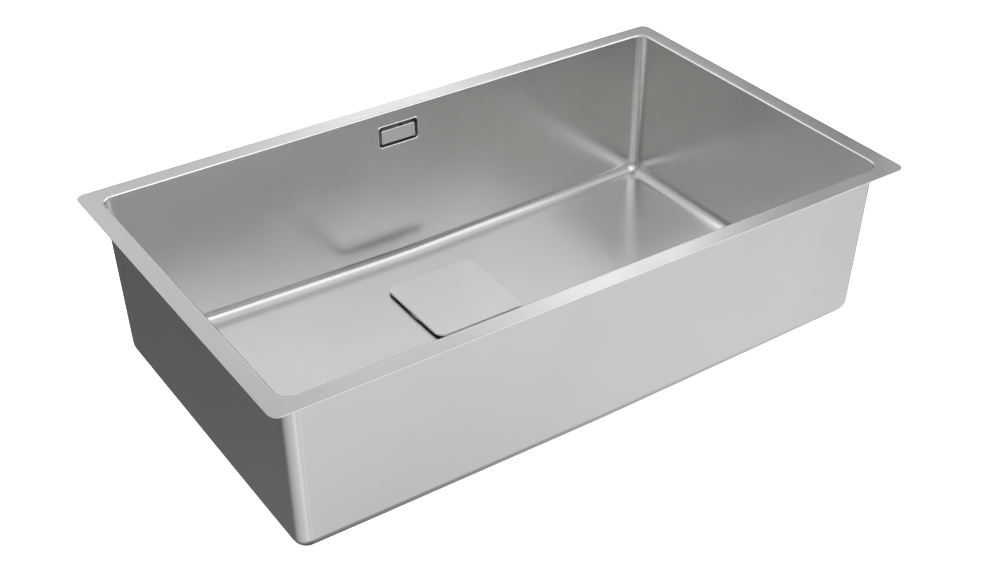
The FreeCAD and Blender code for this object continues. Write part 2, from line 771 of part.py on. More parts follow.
def make_basket():
    cup = drain_body("basket_cup")
    slant = seat_play * ROOT_2
    bend = BEND_45 * basket_steel
    rim_top = flange_top - rim_play
    rim_outer = throat_radius - slant - rim_play
    flare = rim_top - (rim_outer - basket_radius)
    inner = basket_radius - basket_steel
    floor = basket_under + basket_steel
    section = profile(
        cup,
        "section",
        "XZ_Plane",
        [
            (rim_outer, rim_top),
            (rim_outer - ROOT_2 * basket_steel, rim_top),
            (inner, flare + bend),
            (inner, floor),
            (stem_radius + fit_play, floor),
            (stem_radius + fit_play, basket_under),
            (basket_radius, basket_under),
            (basket_radius, flare),
        ],
    )
    revolve(cup, "cup", section)
    half = floor_slot_wide / 2
    corners = [(floor_slot_far, half), (floor_slot_near, half)]
    corners += [(floor_slot_near, -half), (floor_slot_far, -half)]
    slot = profile(cup, "floor_slot_outline", "XY_Plane", corners, (0, 0, floor))
    polar(cup, "floor_slots", pocket(cup, "floor_slot", slot, 2 * basket_steel), floor_slot_count)
    low = (floor + flare - slot_height) / 2
    half = slot_width / 2
    corners = [(half, low + slot_height), (-half, low + slot_height), (-half, low), (half, low)]
    slot = profile(cup, "slot_outline", "XZ_Plane", corners)
    cut = pocket(cup, "slot", slot, basket_radius + basket_steel)
    polar(cup, "slots", cut, slot_count)

    plug = drain_body("basket_seal")
    plug_under = basket_under - plug_top
    section = profile(
        plug,
        "section",
        "XZ_Plane",
        [
            (stem_radius + fit_play, basket_under),
            (stem_radius + fit_play, plug_under),
            (plug_radius - plug_wall, plug_under),
            (plug_radius - plug_wall, cup_floor),
            (plug_radius, cup_floor),
            (plug_radius, basket_under),
        ],
    )
    revolve(plug, "plug", section)

    nut_level = plug_under - stem_nut_high
    nut = drain_body("basket_nut")
    outline = profile(nut, "outline", "XY_Plane", hexagon(stem_nut), (0, 0, nut_level))
    pad(nut, "nut", outline, stem_nut_high)
    bore = circles(
        nut, "bore", "XY_Plane", [(ZERO, ZERO, stem_radius + fit_play)], (0, 0, plug_under)
    )
    pocket(nut, "bore_cut", bore)

    knob_level = flange_top + knob_top
    stem_top = knob_level - knob_head / 2
    stem = drain_body("basket_stem")
    outline = circles(
        stem, "outline", "XY_Plane", [(ZERO, ZERO, stem_radius)], (0, 0, nut_level)
    )
    pad(stem, "stem", outline, stem_top - nut_level)

    knob = drain_body("basket_knob")
    hole = stem_radius + fit_play
    section = profile(
        knob,
        "section",
        "XZ_Plane",
        [
            (ZERO, knob_level),
            (ZERO, stem_top + fit_play),
            (hole, stem_top + fit_play),
            (hole, floor),
            (knob_waist, floor),
            (knob_waist, knob_level - knob_head),
            (knob_radius, knob_level - knob_head + (knob_radius - knob_waist) / 2),
            (knob_radius, knob_level - knob_slope),
            (knob_radius - knob_slope, knob_level),
        ],
    )
    revolve(knob, "knob", section)
    return [cup, plug, nut, stem, knob]


def make_screw():
    head_under = cup_floor
    screw = drain_body("centre_screw")
    tip = boss_top - insert_length + stud_tail / 2
    rings = [(ZERO, ZERO, screw_radius)]
    outline = circles(screw, "shank_outline", "XY_Plane", rings, (0, 0, head_under))
    pad(screw, "shank", outline, head_under - tip, down=True)
    rings = [(ZERO, ZERO, screw_head)]
    outline = circles(screw, "head_outline", "XY_Plane", rings, (0, 0, head_under))
    pad(screw, "head", outline, screw_head_high)
    outline = profile(
        screw,
        "slot_outline",
        "XY_Plane",
        [
            (screw_head * 1.2, screw_slot / 2),
            (screw_head * -1.2, screw_slot / 2),
            (screw_head * -1.2, screw_slot / -2),
            (screw_head * 1.2, screw_slot / -2),
        ],
        (0, 0, head_under + screw_head_high),
    )
    pocket(screw, "slot", outline, screw_head_high / 2)
    insert = drain_body("screw_insert")
    outline = profile(insert, "outline", "XY_Plane", hexagon(insert_flat), (0, 0, boss_top))
    add_circle(outline, ZERO, ZERO, screw_radius + fit_play)
    pad(insert, "insert", outline, insert_length, down=True)
    return [screw, insert]


# ---------------------------------------------------------------- waste body


def make_waste_body():
    body = drain_body("waste_body")
    straight_end = body_top - body_straight
    cone_end = straight_end - body_cone
    bottom = cone_end - outlet_length
    inner = body_radius - body_wall
    flange_under = body_top - body_flange_high
    section = profile(
        body,
        "section",
        "XZ_Plane",
        [
            (body_flange, body_top),
            (inner, body_top),
            (inner, straight_end + body_wall / 2),
            (outlet_bore, cone_end + body_wall),
            (outlet_bore, bottom),
            (outlet_radius, bottom),
            (outlet_radius, cone_end),
            (body_radius, straight_end),
            (body_radius, flange_under),
            (body_flange, flange_under),
        ],
    )
    revolve(body, "shell", section)

    # a boss on four webs takes the clamping screw's insert
    boss_end = cone_end + body_wall
    web = profile(
        body,
        "web_outline",
        "XZ_Plane",
        [
            (boss_radius / 2, boss_top - 2),
            (inner + body_wall / 2, boss_top - 2),
            (inner + body_wall / 2, straight_end),
            (outlet_bore + body_wall / 2, boss_end),
            (boss_radius / 2, boss_end),
        ],
    )
    feature = body.newObject("PartDesign::Pad", "web")
    feature.Profile = web
    feature.SideType = "Symmetric"
    bind(feature, "Length", web_thick)
    polar(body, "webs", feature, web_count)
    boss = circles(body, "boss_outline", "XY_Plane", [(ZERO, ZERO, boss_radius)], (0, 0, boss_top))
    pad(body, "boss", boss, boss_top - boss_end, down=True)
    corners = hexagon(insert_flat + fit_play)
    hole = profile(body, "boss_hole", "XY_Plane", corners, (0, 0, boss_top))
    pocket(body, "boss_bore", hole, insert_length + fit_play)

    # gussets between flange and wall
    gusset = profile(
        body,
        "gusset_outline",
        "XZ_Plane",
        [
            (body_radius - body_wall / 2, flange_under + body_flange_high / 2),
            (body_flange - 1, flange_under + body_flange_high / 2),
            (body_flange - 1, flange_under),
            (body_radius - body_wall / 2, flange_under - gusset_high),
        ],
    )
    feature = body.newObject("PartDesign::Pad", "gusset")
    feature.Profile = gusset
    feature.SideType = "Symmetric"
    bind(feature, "Length", gusset_thick)
    polar(body, "gussets", feature, gusset_count)

    # side port towards the rear wall, where the overflow's hose arrives
    shift = (0, port_axis, -port_end)
    port = circles(body, "port_outline", "XZ_Plane", [(ZERO, ZERO, thread_radius)], shift)
    pad(body, "port", port, port_end - (inner + body_wall / 2))
    bore = circles(body, "port_bore", "XZ_Plane", [(ZERO, ZERO, thread_bore)], shift)
    pocket(body, "port_cut", bore, port_end - boss_radius * 2, other_way=True)
    return body


# ---------------------------------------------------------------- overflow


def make_overflow():
    trim = wall_body("overflow_trim")
    lip = rounded_rectangle(
        trim, "lip_outline", "XZ_Plane", trim_length, trim_height, trim_corner
    )
    pad(trim, "lip", lip, trim_proud)
    sleeve = rounded_rectangle(
        trim, "sleeve_outline", "XZ_Plane", sleeve_length, sleeve_height, sleeve_corner
    )
    pad(trim, "sleeve", sleeve, trim_reach, down=True)
    opening = rounded_rectangle(
        trim,
        "opening_outline",
        "XZ_Plane",
        sleeve_length - 2 * trim_wall,
        sleeve_height - 2 * trim_wall,
        sleeve_corner - trim_wall,
        (0, 0, -(trim_reach + 1)),
    )
    pocket(trim, "opening", opening, trim_reach + trim_proud + 2, other_way=True)

    plate = wall_body("overflow_plate")
    face = rounded_rectangle(
        plate,
        "outline",
        "XZ_Plane",
        plate_length,
        plate_height,
        plate_corner,
        (0, 0, plate_proud),
    )
    pad(plate, "plate", face, plate_thick, down=True)

    gasket = wall_body("overflow_gasket")
    outline = rounded_rectangle(
        gasket,
        "outline",
        "XZ_Plane",
        flange_length,
        flange_height,
        flange_corner,
        (0, 0, -steel),
    )
    pad(gasket, "gasket", outline, gasket_thick, down=True)
    hole = rounded_rectangle(
        gasket,
        "hole",
        "XZ_Plane",
        sleeve_length + 4 * hole_play,
        sleeve_height + 4 * hole_play,
        sleeve_corner + 2 * hole_play,
    )
    pocket(gasket, "hole_cut", hole)

    box = wall_body("overflow_body")
    outline = rounded_rectangle(
        box,
        "flange_outline",
        "XZ_Plane",
        flange_length,
        flange_height,
        flange_corner,
        (0, 0, -flange_face),
    )
    pad(box, "flange", outline, flange_thick, down=True)
    outline = rounded_rectangle(
        box,
        "chamber_outline",
        "XZ_Plane",
        box_length,
        box_height,
        box_corner,
        (0, 0, -flange_face),
    )
    pad(box, "chamber", outline, flange_thick + box_depth, down=True)
    inside = rounded_rectangle(
        box,
        "inside_outline",
        "XZ_Plane",
        box_length - 2 * box_wall,
        box_height - 2 * box_wall,
        box_corner - box_wall,
        (0, 0, -flange_face),
    )
    rings = [(ZERO, spout_back, thread_radius)]
    outline = circles(box, "spout_outline", "XY_Plane", rings, (0, 0, spout_end))
    pad(box, "spout", outline, spout_reach + box_wall / 2)
    pocket(box, "inside", inside, flange_thick + box_depth - box_wall)
    rings = [(ZERO, spout_back, thread_bore)]
    outline = circles(box, "spout_bore", "XY_Plane", rings, (0, 0, spout_end))
    pocket(box, "spout_cut", outline, spout_reach + box_wall + 1, other_way=True)
    loose = stud_radius + hole_play
    rings = [(stud_place, ZERO, loose), (-stud_place, ZERO, loose)]
    outline = circles(box, "stud_holes", "XZ_Plane", rings, (0, 0, -flange_face))
    pocket(box, "stud_cut", outline)

    # two studs on the plate's back cross the chamber and are held behind it by nuts
    studs = wall_body("overflow_studs")
    stud_start = plate_thick - plate_proud
    stud_stop = box_back + nut_high + stud_tail
    rings = [(stud_place, ZERO, stud_radius), (-stud_place, ZERO, stud_radius)]
    outline = circles(studs, "outline", "XZ_Plane", rings, (0, 0, -stud_start))
    pad(studs, "studs", outline, stud_stop - stud_start, down=True)
    nuts = wall_body("overflow_nuts")
    corners = [(across + stud_place, up) for across, up in hexagon(nut_flat)]
    outline = profile(nuts, "outline", "XZ_Plane", corners, (0, 0, -box_back))
    add_circle(outline, stud_place, ZERO, stud_radius + fit_play)
    nut = pad(nuts, "nut", outline, nut_high, down=True)
    pair = nuts.newObject("PartDesign::Mirrored", "pair")
    pair.Originals = [nut]
    pair.MirrorPlane = (origin_part(nuts, "YZ_Plane"), [""])
    nuts.Tip = pair
    return [trim, plate, gasket, box, studs, nuts]


# ---------------------------------------------------------------- hose


def cap_nut(name, place):
    """Hexagonal cap nut that draws the hose's collar onto a spout."""
    body = place(name)
    collar_back = ring_thick + collar_thick
    end = collar_back + cap_end
    top = cap_length - end
    outline = profile(body, "outline", "XY_Plane", hexagon(cap_flat), (0, 0, top))
    pad(body, "nut", outline, cap_length, down=True)
    rings = [(ZERO, ZERO, thread_radius + cap_play)]
    thread = circles(body, "thread_outline", "XY_Plane", rings, (0, 0, top))
    pocket(body, "thread", thread, top + collar_back)
    rings = [(ZERO, ZERO, hose_valley + cap_play)]
    pocket(body, "passage", circles(body, "passage_outline", "XY_Plane", rings, (0, 0, top)))
    return body


def seal_ring(name, place):
    body = place(name)
    rings = [(ZERO, ZERO, hose_collar), (ZERO, ZERO, thread_bore)]
    pad(body, "ring", circles(body, "outline", "XY_Plane", rings), ring_thick, down=True)
    return body


def both(name, upper, lower):
    """The two like pieces at the hose's ends, as one sub-part."""
    pair = doc.addObject("Part::Compound", name)
    pair.Label = name
    pair.Links = [upper, lower]
    return pair


def hose_route():
    """Route in the plane x = 0: down behind the rear wall, one bend, forward to the port."""
    turn = lean_radians
    down = Vector(0, -math.sin(turn), -math.cos(turn))
    ahead = Vector(0, -1, 0)
    reach = (spout_end - ring_thick).number
    back = overflow_face.number + spout_back.number * math.cos(turn) - down.y * reach
    level = -overflow_level.number - spout_back.number * math.sin(turn) - down.z * reach
    start = Vector(0, back, level)
    end = Vector(0, (drain_back + port_end + ring_thick).number, port_axis.number)
    # the two straights meet at the corner, which the bend replaces
    corner = start + down * ((end.z - start.z) / down.z)
    radius = bend_radius.number
    cut = radius * math.tan(down.getAngle(ahead) / 2)
    first = corner - down * cut
    last = corner + ahead * cut
    inward = (ahead - down).normalize()
    centre = corner + inward * (radius / math.cos(down.getAngle(ahead) / 2))
    middle = centre - inward * radius
    return start, down, first, middle, last, ahead, end, centre


def make_hose():
    """Smooth cuffs on the two straights, and between them a bend of mitred ribs.

    The bend's arc is followed by short straight stretches that touch it, one for each rib. Where
    two of them meet, the plane between them cuts both ribs alike, so their feet close on each
    other: near together inside the bend and further apart outside it.
    """
    start, down, first, middle, last, ahead, end, centre = hose_route()
    angle = down.getAngle(ahead)
    turns = int(bend_radius.number * angle / rib_pitch.number)
    half = angle / turns / 2
    side = bend_radius.number * math.tan(half)
    pitch = 2 * side
    lean_down = math.atan2(-down.y, down.z)

    # feet of the ribs and directions of the stretches
    ways = [Rotation(Vector(1, 0, 0), -math.degrees(2 * half * i)).multVec(down)
            for i in range(turns + 1)]
    feet = [first + down * side]
    for way in ways[1:-1]:
        feet.append(feet[-1] + way * pitch)
    if feet[-1].distanceToPoint(last - ahead * side) > 0.001:
        raise ValueError("the hose's ribs do not follow its bend")

    collar = collar_thick.number
    valley = hose_valley.number
    crest = hose_crest.number
    bore = hose_bore.number
    over = 1.2 * valley * math.tan(half)
    inner = valley - over * (crest - valley) / side

    def stretch(outline, spot, turn):
        """Tube with that outline, as radii and heights, along its own stretch of the route."""
        corners = [(bore, outline[0][1])] + outline + [(bore, outline[-1][1])]
        corners = [Vector(radius, 0, height) for radius, height in corners]
        tube = Part.Face(Part.makePolygon(corners + corners[:1]))
        tube = tube.revolve(Vector(), Vector(0, 0, 1), 360)
        turn = math.degrees(lean_down - 2 * half * turn)
        tube.Placement = Placement(spot, Rotation(Vector(1, 0, 0), turn))
        return tube

    def mitred(tube, spot, normal):
        """The part of the tube behind the plane through that foot."""
        turn = Rotation(Vector(0, 0, 1), normal)
        block = Part.makeBox(60, 60, 400, Vector(-30, -30, -400))
        block.Placement = Placement(spot, turn)
        return tube.common(block)

    def between(i):
        """Normal of the plane between the stretches that meet at foot i."""
        return (ways[i] + ways[i + 1]).normalize()

    cuff = feet[0].distanceToPoint(start) - pitch
    rib = [(valley, 0.0), (crest, side), (inner, pitch + over)]
    upper = [(hose_collar.number, 0.0), (hose_collar.number, collar * 0.8), (valley, collar)]
    upper += [(radius, cuff + height) for radius, height in rib]
    pieces = [mitred(stretch(upper, start, 0), feet[0], between(0))]
    both_ways = [(inner, -over), (crest, side), (inner, pitch + over)]
    for i in range(1, turns):
        tube = stretch(both_ways, feet[i - 1], i)
        tube = mitred(tube, feet[i - 1], -between(i - 1))
        pieces.append(mitred(tube, feet[i], between(i)))
    run = feet[-1].distanceToPoint(end)
    lower = [(inner, -over), (crest, side), (valley, pitch), (valley, run - collar)]
    lower += [(hose_collar.number, run - collar * 0.8), (hose_collar.number, run)]
    pieces.append(mitred(stretch(lower, feet[-1], turns), feet[-1], -between(turns - 1)))

    body = pieces[0].fuse(pieces[1:]).removeSplitter()
    total = start.distanceToPoint(first) + last.distanceToPoint(end) + bend_radius.number * angle
    wanted = sum(piece.Volume for piece in pieces)
    if len(body.Solids) != 1 or abs(body.Volume - wanted) > 0.001 * wanted:
        raise ValueError("the hose's stretches do not close on each other")
    print("hose: %d ribs, pitch %.2f mm, route %.1f mm, bend radius %.1f mm"
          % (turns + 1, pitch, total, bend_radius.number))
    hose = doc.addObject("Part::Feature", "overflow_hose")
    hose.Label = "overflow_hose"
    hose.Shape = body.Solids[0]
    return hose


# ---------------------------------------------------------------- deadening pads


def make_pad(name, side):
    """Pad glued under the floor, so that it has the floor's own fall."""
    body = new_body(name)
    corners = [
        (pad_place + pad_length / 2, pad_width / 2, pad_corner),
        (pad_place - pad_length / 2, pad_width / 2, pad_corner),
        (pad_place - pad_length / 2, -pad_width / 2, pad_corner),
        (pad_place + pad_length / 2, -pad_width / 2, pad_corner),
    ]
    if side < 0:
        corners = [(-across, up, radius) for across, up, radius in reversed(corners)]
    outline = profile(body, "outline", "XY_Plane", corners, (0, 0, -wall_depth))
    pad(body, "prism", outline, drain_sag + 2 * steel + 2 * pad_thick, down=True)
    glued = steel + pad_glue
    upper = body.newObject("PartDesign::Boolean", "glued_face")
    upper.setObjects([below_floor(name + "_upper", glued)])
    upper.Type = "Common"
    lower = body.newObject("PartDesign::Boolean", "free_face")
    lower.setObjects([below_floor(name + "_lower", glued + pad_thick)])
    lower.Type = "Cut"
    return body


# ---------------------------------------------------------------- build and write


nodes = [make_bowl()]
nodes += make_cover()
nodes += make_strainer()
nodes += make_basket()
nodes += make_screw()
nodes.append(make_waste_body())
nodes += make_overflow()
upper_nut, lower_nut = cap_nut("upper_nut", spout_body), cap_nut("lower_nut", port_body)
upper_seal, lower_seal = seal_ring("upper_seal", spout_body), seal_ring("lower_seal", port_body)
nodes.append(both("hose_nuts", upper_nut, lower_nut))
nodes.append(both("hose_seals", upper_seal, lower_seal))
nodes.append(make_hose())
nodes += [make_pad("sound_pad_left", -1), make_pad("sound_pad_right", 1)]

doc.recompute()
for thing in doc.Objects:
    if "Invalid" in thing.State or "Error" in thing.State:
        raise ValueError("%s is %s" % (thing.Label, thing.State))
for node in nodes:
    if node.Shape.isNull() or not node.Shape.isValid() or not node.Shape.Solids:
        raise ValueError(node.Label + " has no valid solid")

os.makedirs("parts", exist_ok=True)
for node in nodes:
    node.Shape.exportStep("parts/%s.step" % node.Label)
print("%d sub-parts written" % len(nodes))
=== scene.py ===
import math

import bmesh
import bpy
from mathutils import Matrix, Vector


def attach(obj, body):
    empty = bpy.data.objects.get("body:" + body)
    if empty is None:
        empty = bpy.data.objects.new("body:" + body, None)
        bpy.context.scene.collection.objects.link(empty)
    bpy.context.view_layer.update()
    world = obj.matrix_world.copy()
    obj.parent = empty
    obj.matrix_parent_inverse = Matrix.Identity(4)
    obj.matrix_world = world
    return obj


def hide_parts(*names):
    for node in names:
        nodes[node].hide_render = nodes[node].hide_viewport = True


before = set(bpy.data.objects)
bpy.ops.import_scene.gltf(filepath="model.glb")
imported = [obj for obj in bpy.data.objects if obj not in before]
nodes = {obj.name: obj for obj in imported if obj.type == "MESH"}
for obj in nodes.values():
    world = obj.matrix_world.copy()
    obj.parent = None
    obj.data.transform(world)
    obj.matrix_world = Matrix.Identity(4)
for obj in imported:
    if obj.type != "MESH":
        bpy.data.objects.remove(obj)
bpy.ops.object.select_all(action="DESELECT")
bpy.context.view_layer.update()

# Levels and places that several pieces share, in metres.
RIM = (0.750, 0.440)        # ledge, outside
MOUTH = (0.710, 0.400)      # opening of the bowl
TURN_OUT = (0.718, 0.408)   # where the bend at the mouth ends in the ledge
STEEL = 0.001               # thickness of the sheet
FLOOR_EDGE = -0.1876        # floor along the end walls
IN_THE_FLOOR = -0.15        # everything of the open shell below this belongs to the floor
WALL_ROUND = 0.0145         # rounding between walls and floor
DRAIN_Y = 0.084             # drain behind the middle of the bowl
DRAIN_SQUARE = 0.075        # half the square of fine rows round the drain
RECESS = 0.0590             # outer edge of the round recess
SEAT = -0.199               # flat seat round the drain
OVERFLOW = (0, 0.19903, -0.0308)
LEAN = math.asin(0.031434)  # how far the long walls lean
HOSE_LEVEL = -0.2335        # middle of the waste's side port
SPOUT_BACK = 0.0185         # the chamber's spout, behind the face of the rear wall
STUD_SIDE = 0.014           # each stud, from the middle of the overflow
COVER_UNDER = -0.1938       # underside of the cover plate
COVER_THICK = 0.0023
STUDIO_FLOOR = -0.2905


# --- handling ---------------------------------------------------------------

def put_down():
    if bpy.context.mode != "OBJECT":
        bpy.ops.object.mode_set(mode="OBJECT")
    bpy.ops.object.select_all(action="DESELECT")


def take_up(*pieces):
    put_down()
    for piece in pieces:
        piece.select_set(True)
    bpy.context.view_layer.objects.active = pieces[0]


def work_on(piece, kind="FACE"):
    take_up(piece)
    bpy.ops.object.mode_set(mode="EDIT")
    bpy.ops.mesh.select_mode(type=kind)
    bpy.ops.mesh.select_all(action="DESELECT")


def pick(piece, parts, wanted):
    mesh = bmesh.from_edit_mesh(piece.data)
    for part in getattr(mesh, parts):
        if wanted(part):
            part.select_set(True)
    mesh.select_flush_mode()
    bmesh.update_edit_mesh(piece.data)


def named(name):
    piece = bpy.context.active_object
    piece.name = piece.data.name = name
    return piece


def apply_place(piece, at=(0, 0, 0), turn=(0, 0, 0), scale=(1, 1, 1)):
    take_up(piece)
    piece.location, piece.rotation_euler, piece.scale = at, turn, scale
    bpy.ops.object.transform_apply(location=True, rotation=True, scale=True)
    return piece


def moved(piece, step):
    return apply_place(piece, step)


def block(name, middle, size):
    put_down()
    bpy.ops.mesh.primitive_cube_add(size=1)
    return apply_place(named(name), middle, (0, 0, 0), size)


def sheet(name, length, width, corner, steps=8, level=0.0):
    """A flat rounded rectangle, lying level."""
    put_down()
    bpy.ops.mesh.primitive_plane_add(size=1)
    piece = apply_place(named(name), (0, 0, level), (0, 0, 0), (length, width, 1))
    work_on(piece, "VERT")
    bpy.ops.mesh.select_all(action="SELECT")
    bpy.ops.mesh.bevel(offset=corner, segments=steps, profile=0.5, affect="VERTICES")
    put_down()
    return piece


def close_up(piece, gap=1e-6):
    work_on(piece, "VERT")
    bpy.ops.mesh.select_all(action="SELECT")
    bpy.ops.mesh.remove_doubles(threshold=gap)
    bpy.ops.mesh.normals_make_consistent(inside=False)
    put_down()
    return piece


def raised(piece, height):
    """Extrudes all of a flat sheet into a slab."""
    work_on(piece, "FACE")
    bpy.ops.mesh.select_all(action="SELECT")
    bpy.ops.mesh.extrude_region_move(TRANSFORM_OT_translate={"value": (0, 0, height)})
    return close_up(piece)


def stretched(piece, steps):
    """Extrudes the selected open edge loop through (x scale, y scale, level) steps."""
    work_on(piece, "EDGE")
    pick(piece, "edges", lambda edge: edge.is_boundary or edge.is_wire)
    for wide, deep, rise in steps:
        bpy.ops.mesh.extrude_region_move(TRANSFORM_OT_translate={"value": (0, 0, rise)})
        bpy.ops.transform.resize(value=(wide, deep, 1), center_override=(0, 0, 0))
    return piece


def turned(name, outline, sides=64):
    """A piece turned about the upright axis from (radius, level) points of its outline."""
    put_down()
    radius, level = outline[0]
    bpy.ops.mesh.primitive_circle_add(vertices=sides, radius=radius)
    piece = apply_place(named(name), (0, 0, level))
    work_on(piece, "EDGE")
    bpy.ops.mesh.select_all(action="SELECT")
    for wide, high in outline[1:]:
        bpy.ops.mesh.extrude_region_move(
            TRANSFORM_OT_translate={"value": (0, 0, high - level)})
        grow = wide / radius
        bpy.ops.transform.resize(value=(grow, grow, 1), center_override=(0, 0, high))
        radius, level = wide, high
    return close_up(piece)


def apply_all(piece):
    take_up(piece)
    for modifier in list(piece.modifiers):
        bpy.ops.object.modifier_apply(modifier=modifier.name)
    return piece


def cut(piece, tool, how="DIFFERENCE"):
    change = piece.modifiers.new("cut", "BOOLEAN")
    change.operation, change.object, change.solver = how, tool, "EXACT"
    apply_all(piece)
    bpy.data.objects.remove(tool)
    return piece


def joined(piece, *others):
    take_up(piece, *others)
    bpy.ops.object.join()
    put_down()
    return piece


def softened(piece, width, steps=2, angle=35):
    edge = piece.modifiers.new("edge", "BEVEL")
    edge.width, edge.segments = width, steps
    edge.limit_method, edge.angle_limit = "ANGLE", math.radians(angle)
    return apply_all(piece)


def smoothed(piece, angle=35):
    take_up(piece)
    bpy.ops.object.shade_smooth_by_angle(angle=math.radians(angle))
    even = piece.modifiers.new("even", "WEIGHTED_NORMAL")
    even.keep_sharp, even.weight = True, 80
    return apply_all(piece)


def repeated(piece, count):
    """Copies of a piece round the upright axis, joined into one."""
    copies = []
    for turn in range(1, count):
        take_up(piece)
        bpy.ops.object.duplicate()
        copy = bpy.context.active_object
        angle = 2 * math.pi * turn / count
        work_on(copy, "VERT")
        bpy.ops.mesh.select_all(action="SELECT")
        bpy.ops.transform.rotate(value=-angle, orient_axis="Z", center_override=(0, 0, 0))
        put_down()
        copies.append(copy)
    return joined(piece, *copies)


# --- finishes ---------------------------------------------------------------

class Finish:
    """A material built up from its grain, colour and gloss."""

    def __init__(self, name):
        self.material = bpy.data.materials.new(name)
        self.material.use_nodes = True
        self.tree = self.material.node_tree
        self.shader = self.tree.nodes["Principled BSDF"]
        self.place = self.tree.nodes.new("ShaderNodeTexCoord").outputs["Object"]

    def grain(self, scale, detail=3.0, rough=0.55):
        mapping = self.tree.nodes.new("ShaderNodeMapping")
        mapping.inputs["Scale"].default_value = scale
        self.tree.links.new(self.place, mapping.inputs["Vector"])
        noise = self.tree.nodes.new("ShaderNodeTexNoise")
        noise.inputs["Scale"].default_value = 1.0
        noise.inputs["Detail"].default_value = detail
        noise.inputs["Roughness"].default_value = rough
        self.tree.links.new(mapping.outputs["Vector"], noise.inputs["Vector"])
        return noise.outputs["Fac"]

    def between(self, source, low, high, start=0.3, stop=0.7):
        span = self.tree.nodes.new("ShaderNodeMapRange")
        span.inputs["From Min"].default_value = start
        span.inputs["From Max"].default_value = stop
        span.inputs["To Min"].default_value = low
        span.inputs["To Max"].default_value = high
        self.tree.links.new(source, span.inputs["Value"])
        return span.outputs["Result"]

    def sum(self, first, second):
        add = self.tree.nodes.new("ShaderNodeMath")
        add.operation = "ADD"
        self.tree.links.new(first, add.inputs[0])
        self.tree.links.new(second, add.inputs[1])
        return add.outputs[0]

    def shade(self, source, dark, light, start=0.3, stop=0.7):
        ramp = self.tree.nodes.new("ShaderNodeValToRGB")
        ramp.color_ramp.elements[0].position = start
        ramp.color_ramp.elements[1].position = stop
        ramp.color_ramp.elements[0].color = (*dark, 1)
        ramp.color_ramp.elements[1].color = (*light, 1)
        self.tree.links.new(source, ramp.inputs["Fac"])
        self.tree.links.new(ramp.outputs["Color"], self.shader.inputs["Base Color"])

    def gloss(self, source):
        self.tree.links.new(source, self.shader.inputs["Roughness"])

    def bump(self, source, height, strength=1.0):
        bump = self.tree.nodes.new("ShaderNodeBump")
        bump.inputs["Strength"].default_value = strength
        bump.inputs["Distance"].default_value = height
        self.tree.links.new(source, bump.inputs["Height"])
        self.tree.links.new(bump.outputs["Normal"], self.shader.inputs["Normal"])

    def set(self, **values):
        for socket, value in values.items():
            self.shader.inputs[socket.replace("_", " ")].default_value = value
        return self


def brushed(name, dark, light, rough, spread, along, across, height):
    """Satin steel: fine lines along one direction, faint clouding, uneven gloss."""
    steel = Finish(name).set(Metallic=1.0)
    lines = steel.grain((along, across, across), 3.0, 0.6)
    clouds = steel.grain((9, 9, 9), 3.0, 0.5)
    steel.shade(clouds, dark, light, 0.35, 0.65)
    steel.gloss(steel.sum(steel.between(lines, rough - spread, rough + spread),
                          steel.between(clouds, -0.02, 0.02)))
    steel.bump(lines, height, 0.35)
    return steel.material


def moulded(name, dark, light, rough, height=0.00004, scale=900.0):
    """Moulded plastic or rubber: fine pitting, faint flow marks in colour and gloss."""
    plastic = Finish(name)
    pits = plastic.grain((scale,) * 3, 3.0, 0.6)
    flow = plastic.grain((22, 22, 60), 2.0, 0.5)
    plastic.shade(flow, dark, light)
    plastic.gloss(plastic.sum(plastic.between(pits, rough - 0.05, rough + 0.07),
                              plastic.between(flow, -0.03, 0.03)))
    plastic.bump(pits, height, 0.4)
    return plastic.material


bowl_steel = brushed("bowl_steel", (0.630, 0.631, 0.620), (0.650, 0.651, 0.641),
                     0.235, 0.015, 40, 1600, 0.000002)
cover_steel = brushed("cover_steel", (0.650, 0.651, 0.641), (0.672, 0.673, 0.663),
                      0.235, 0.015, 40, 1600, 0.000002)
strainer_steel = brushed("strainer_steel", (0.56, 0.56, 0.55), (0.62, 0.62, 0.61),
                         0.20, 0.04, 400, 400, 0.000008)
trim_steel = brushed("trim_steel", (0.84, 0.84, 0.83), (0.90, 0.90, 0.89),
                     0.18, 0.03, 300, 900, 0.000004)
knob_steel = brushed("knob_steel", (0.60, 0.60, 0.59), (0.66, 0.66, 0.65),
                     0.15, 0.04, 700, 700, 0.000005)
fastener_steel = brushed("fastener_steel", (0.44, 0.44, 0.43), (0.56, 0.56, 0.54),
                         0.30, 0.08, 500, 500, 0.00002)
brass = brushed("brass", (0.56, 0.41, 0.16), (0.66, 0.50, 0.23), 0.28, 0.07, 500, 500, 0.00002)
rubber = moulded("rubber", (0.016, 0.016, 0.017), (0.032, 0.032, 0.033), 0.58)
seal_foam = moulded("seal_foam", (0.19, 0.19, 0.185), (0.26, 0.26, 0.25), 0.86, 0.0001, 1500.0)
waste_plastic = moulded("waste_plastic", (0.60, 0.60, 0.585), (0.68, 0.68, 0.665), 0.42)
nut_plastic = moulded("nut_plastic", (0.115, 0.12, 0.125), (0.155, 0.16, 0.165), 0.38)
hose_plastic = moulded("hose_plastic", (0.50, 0.50, 0.49), (0.60, 0.60, 0.585), 0.46)
sound_pad = moulded("sound_pad", (0.050, 0.051, 0.053), (0.085, 0.086, 0.088), 0.82, 0.00025, 420.0)

FINISHES = {
    "bowl_steel": bowl_steel, "cover_steel": cover_steel, "strainer_steel": strainer_steel,
    "trim_steel": trim_steel, "knob_steel": knob_steel, "fastener_steel": fastener_steel,
    "rubber": rubber, "seal_foam": seal_foam, "brass": brass, "waste_plastic": waste_plastic,
    "nut_plastic": nut_plastic, "hose_plastic": hose_plastic, "sound_pad": sound_pad,
}


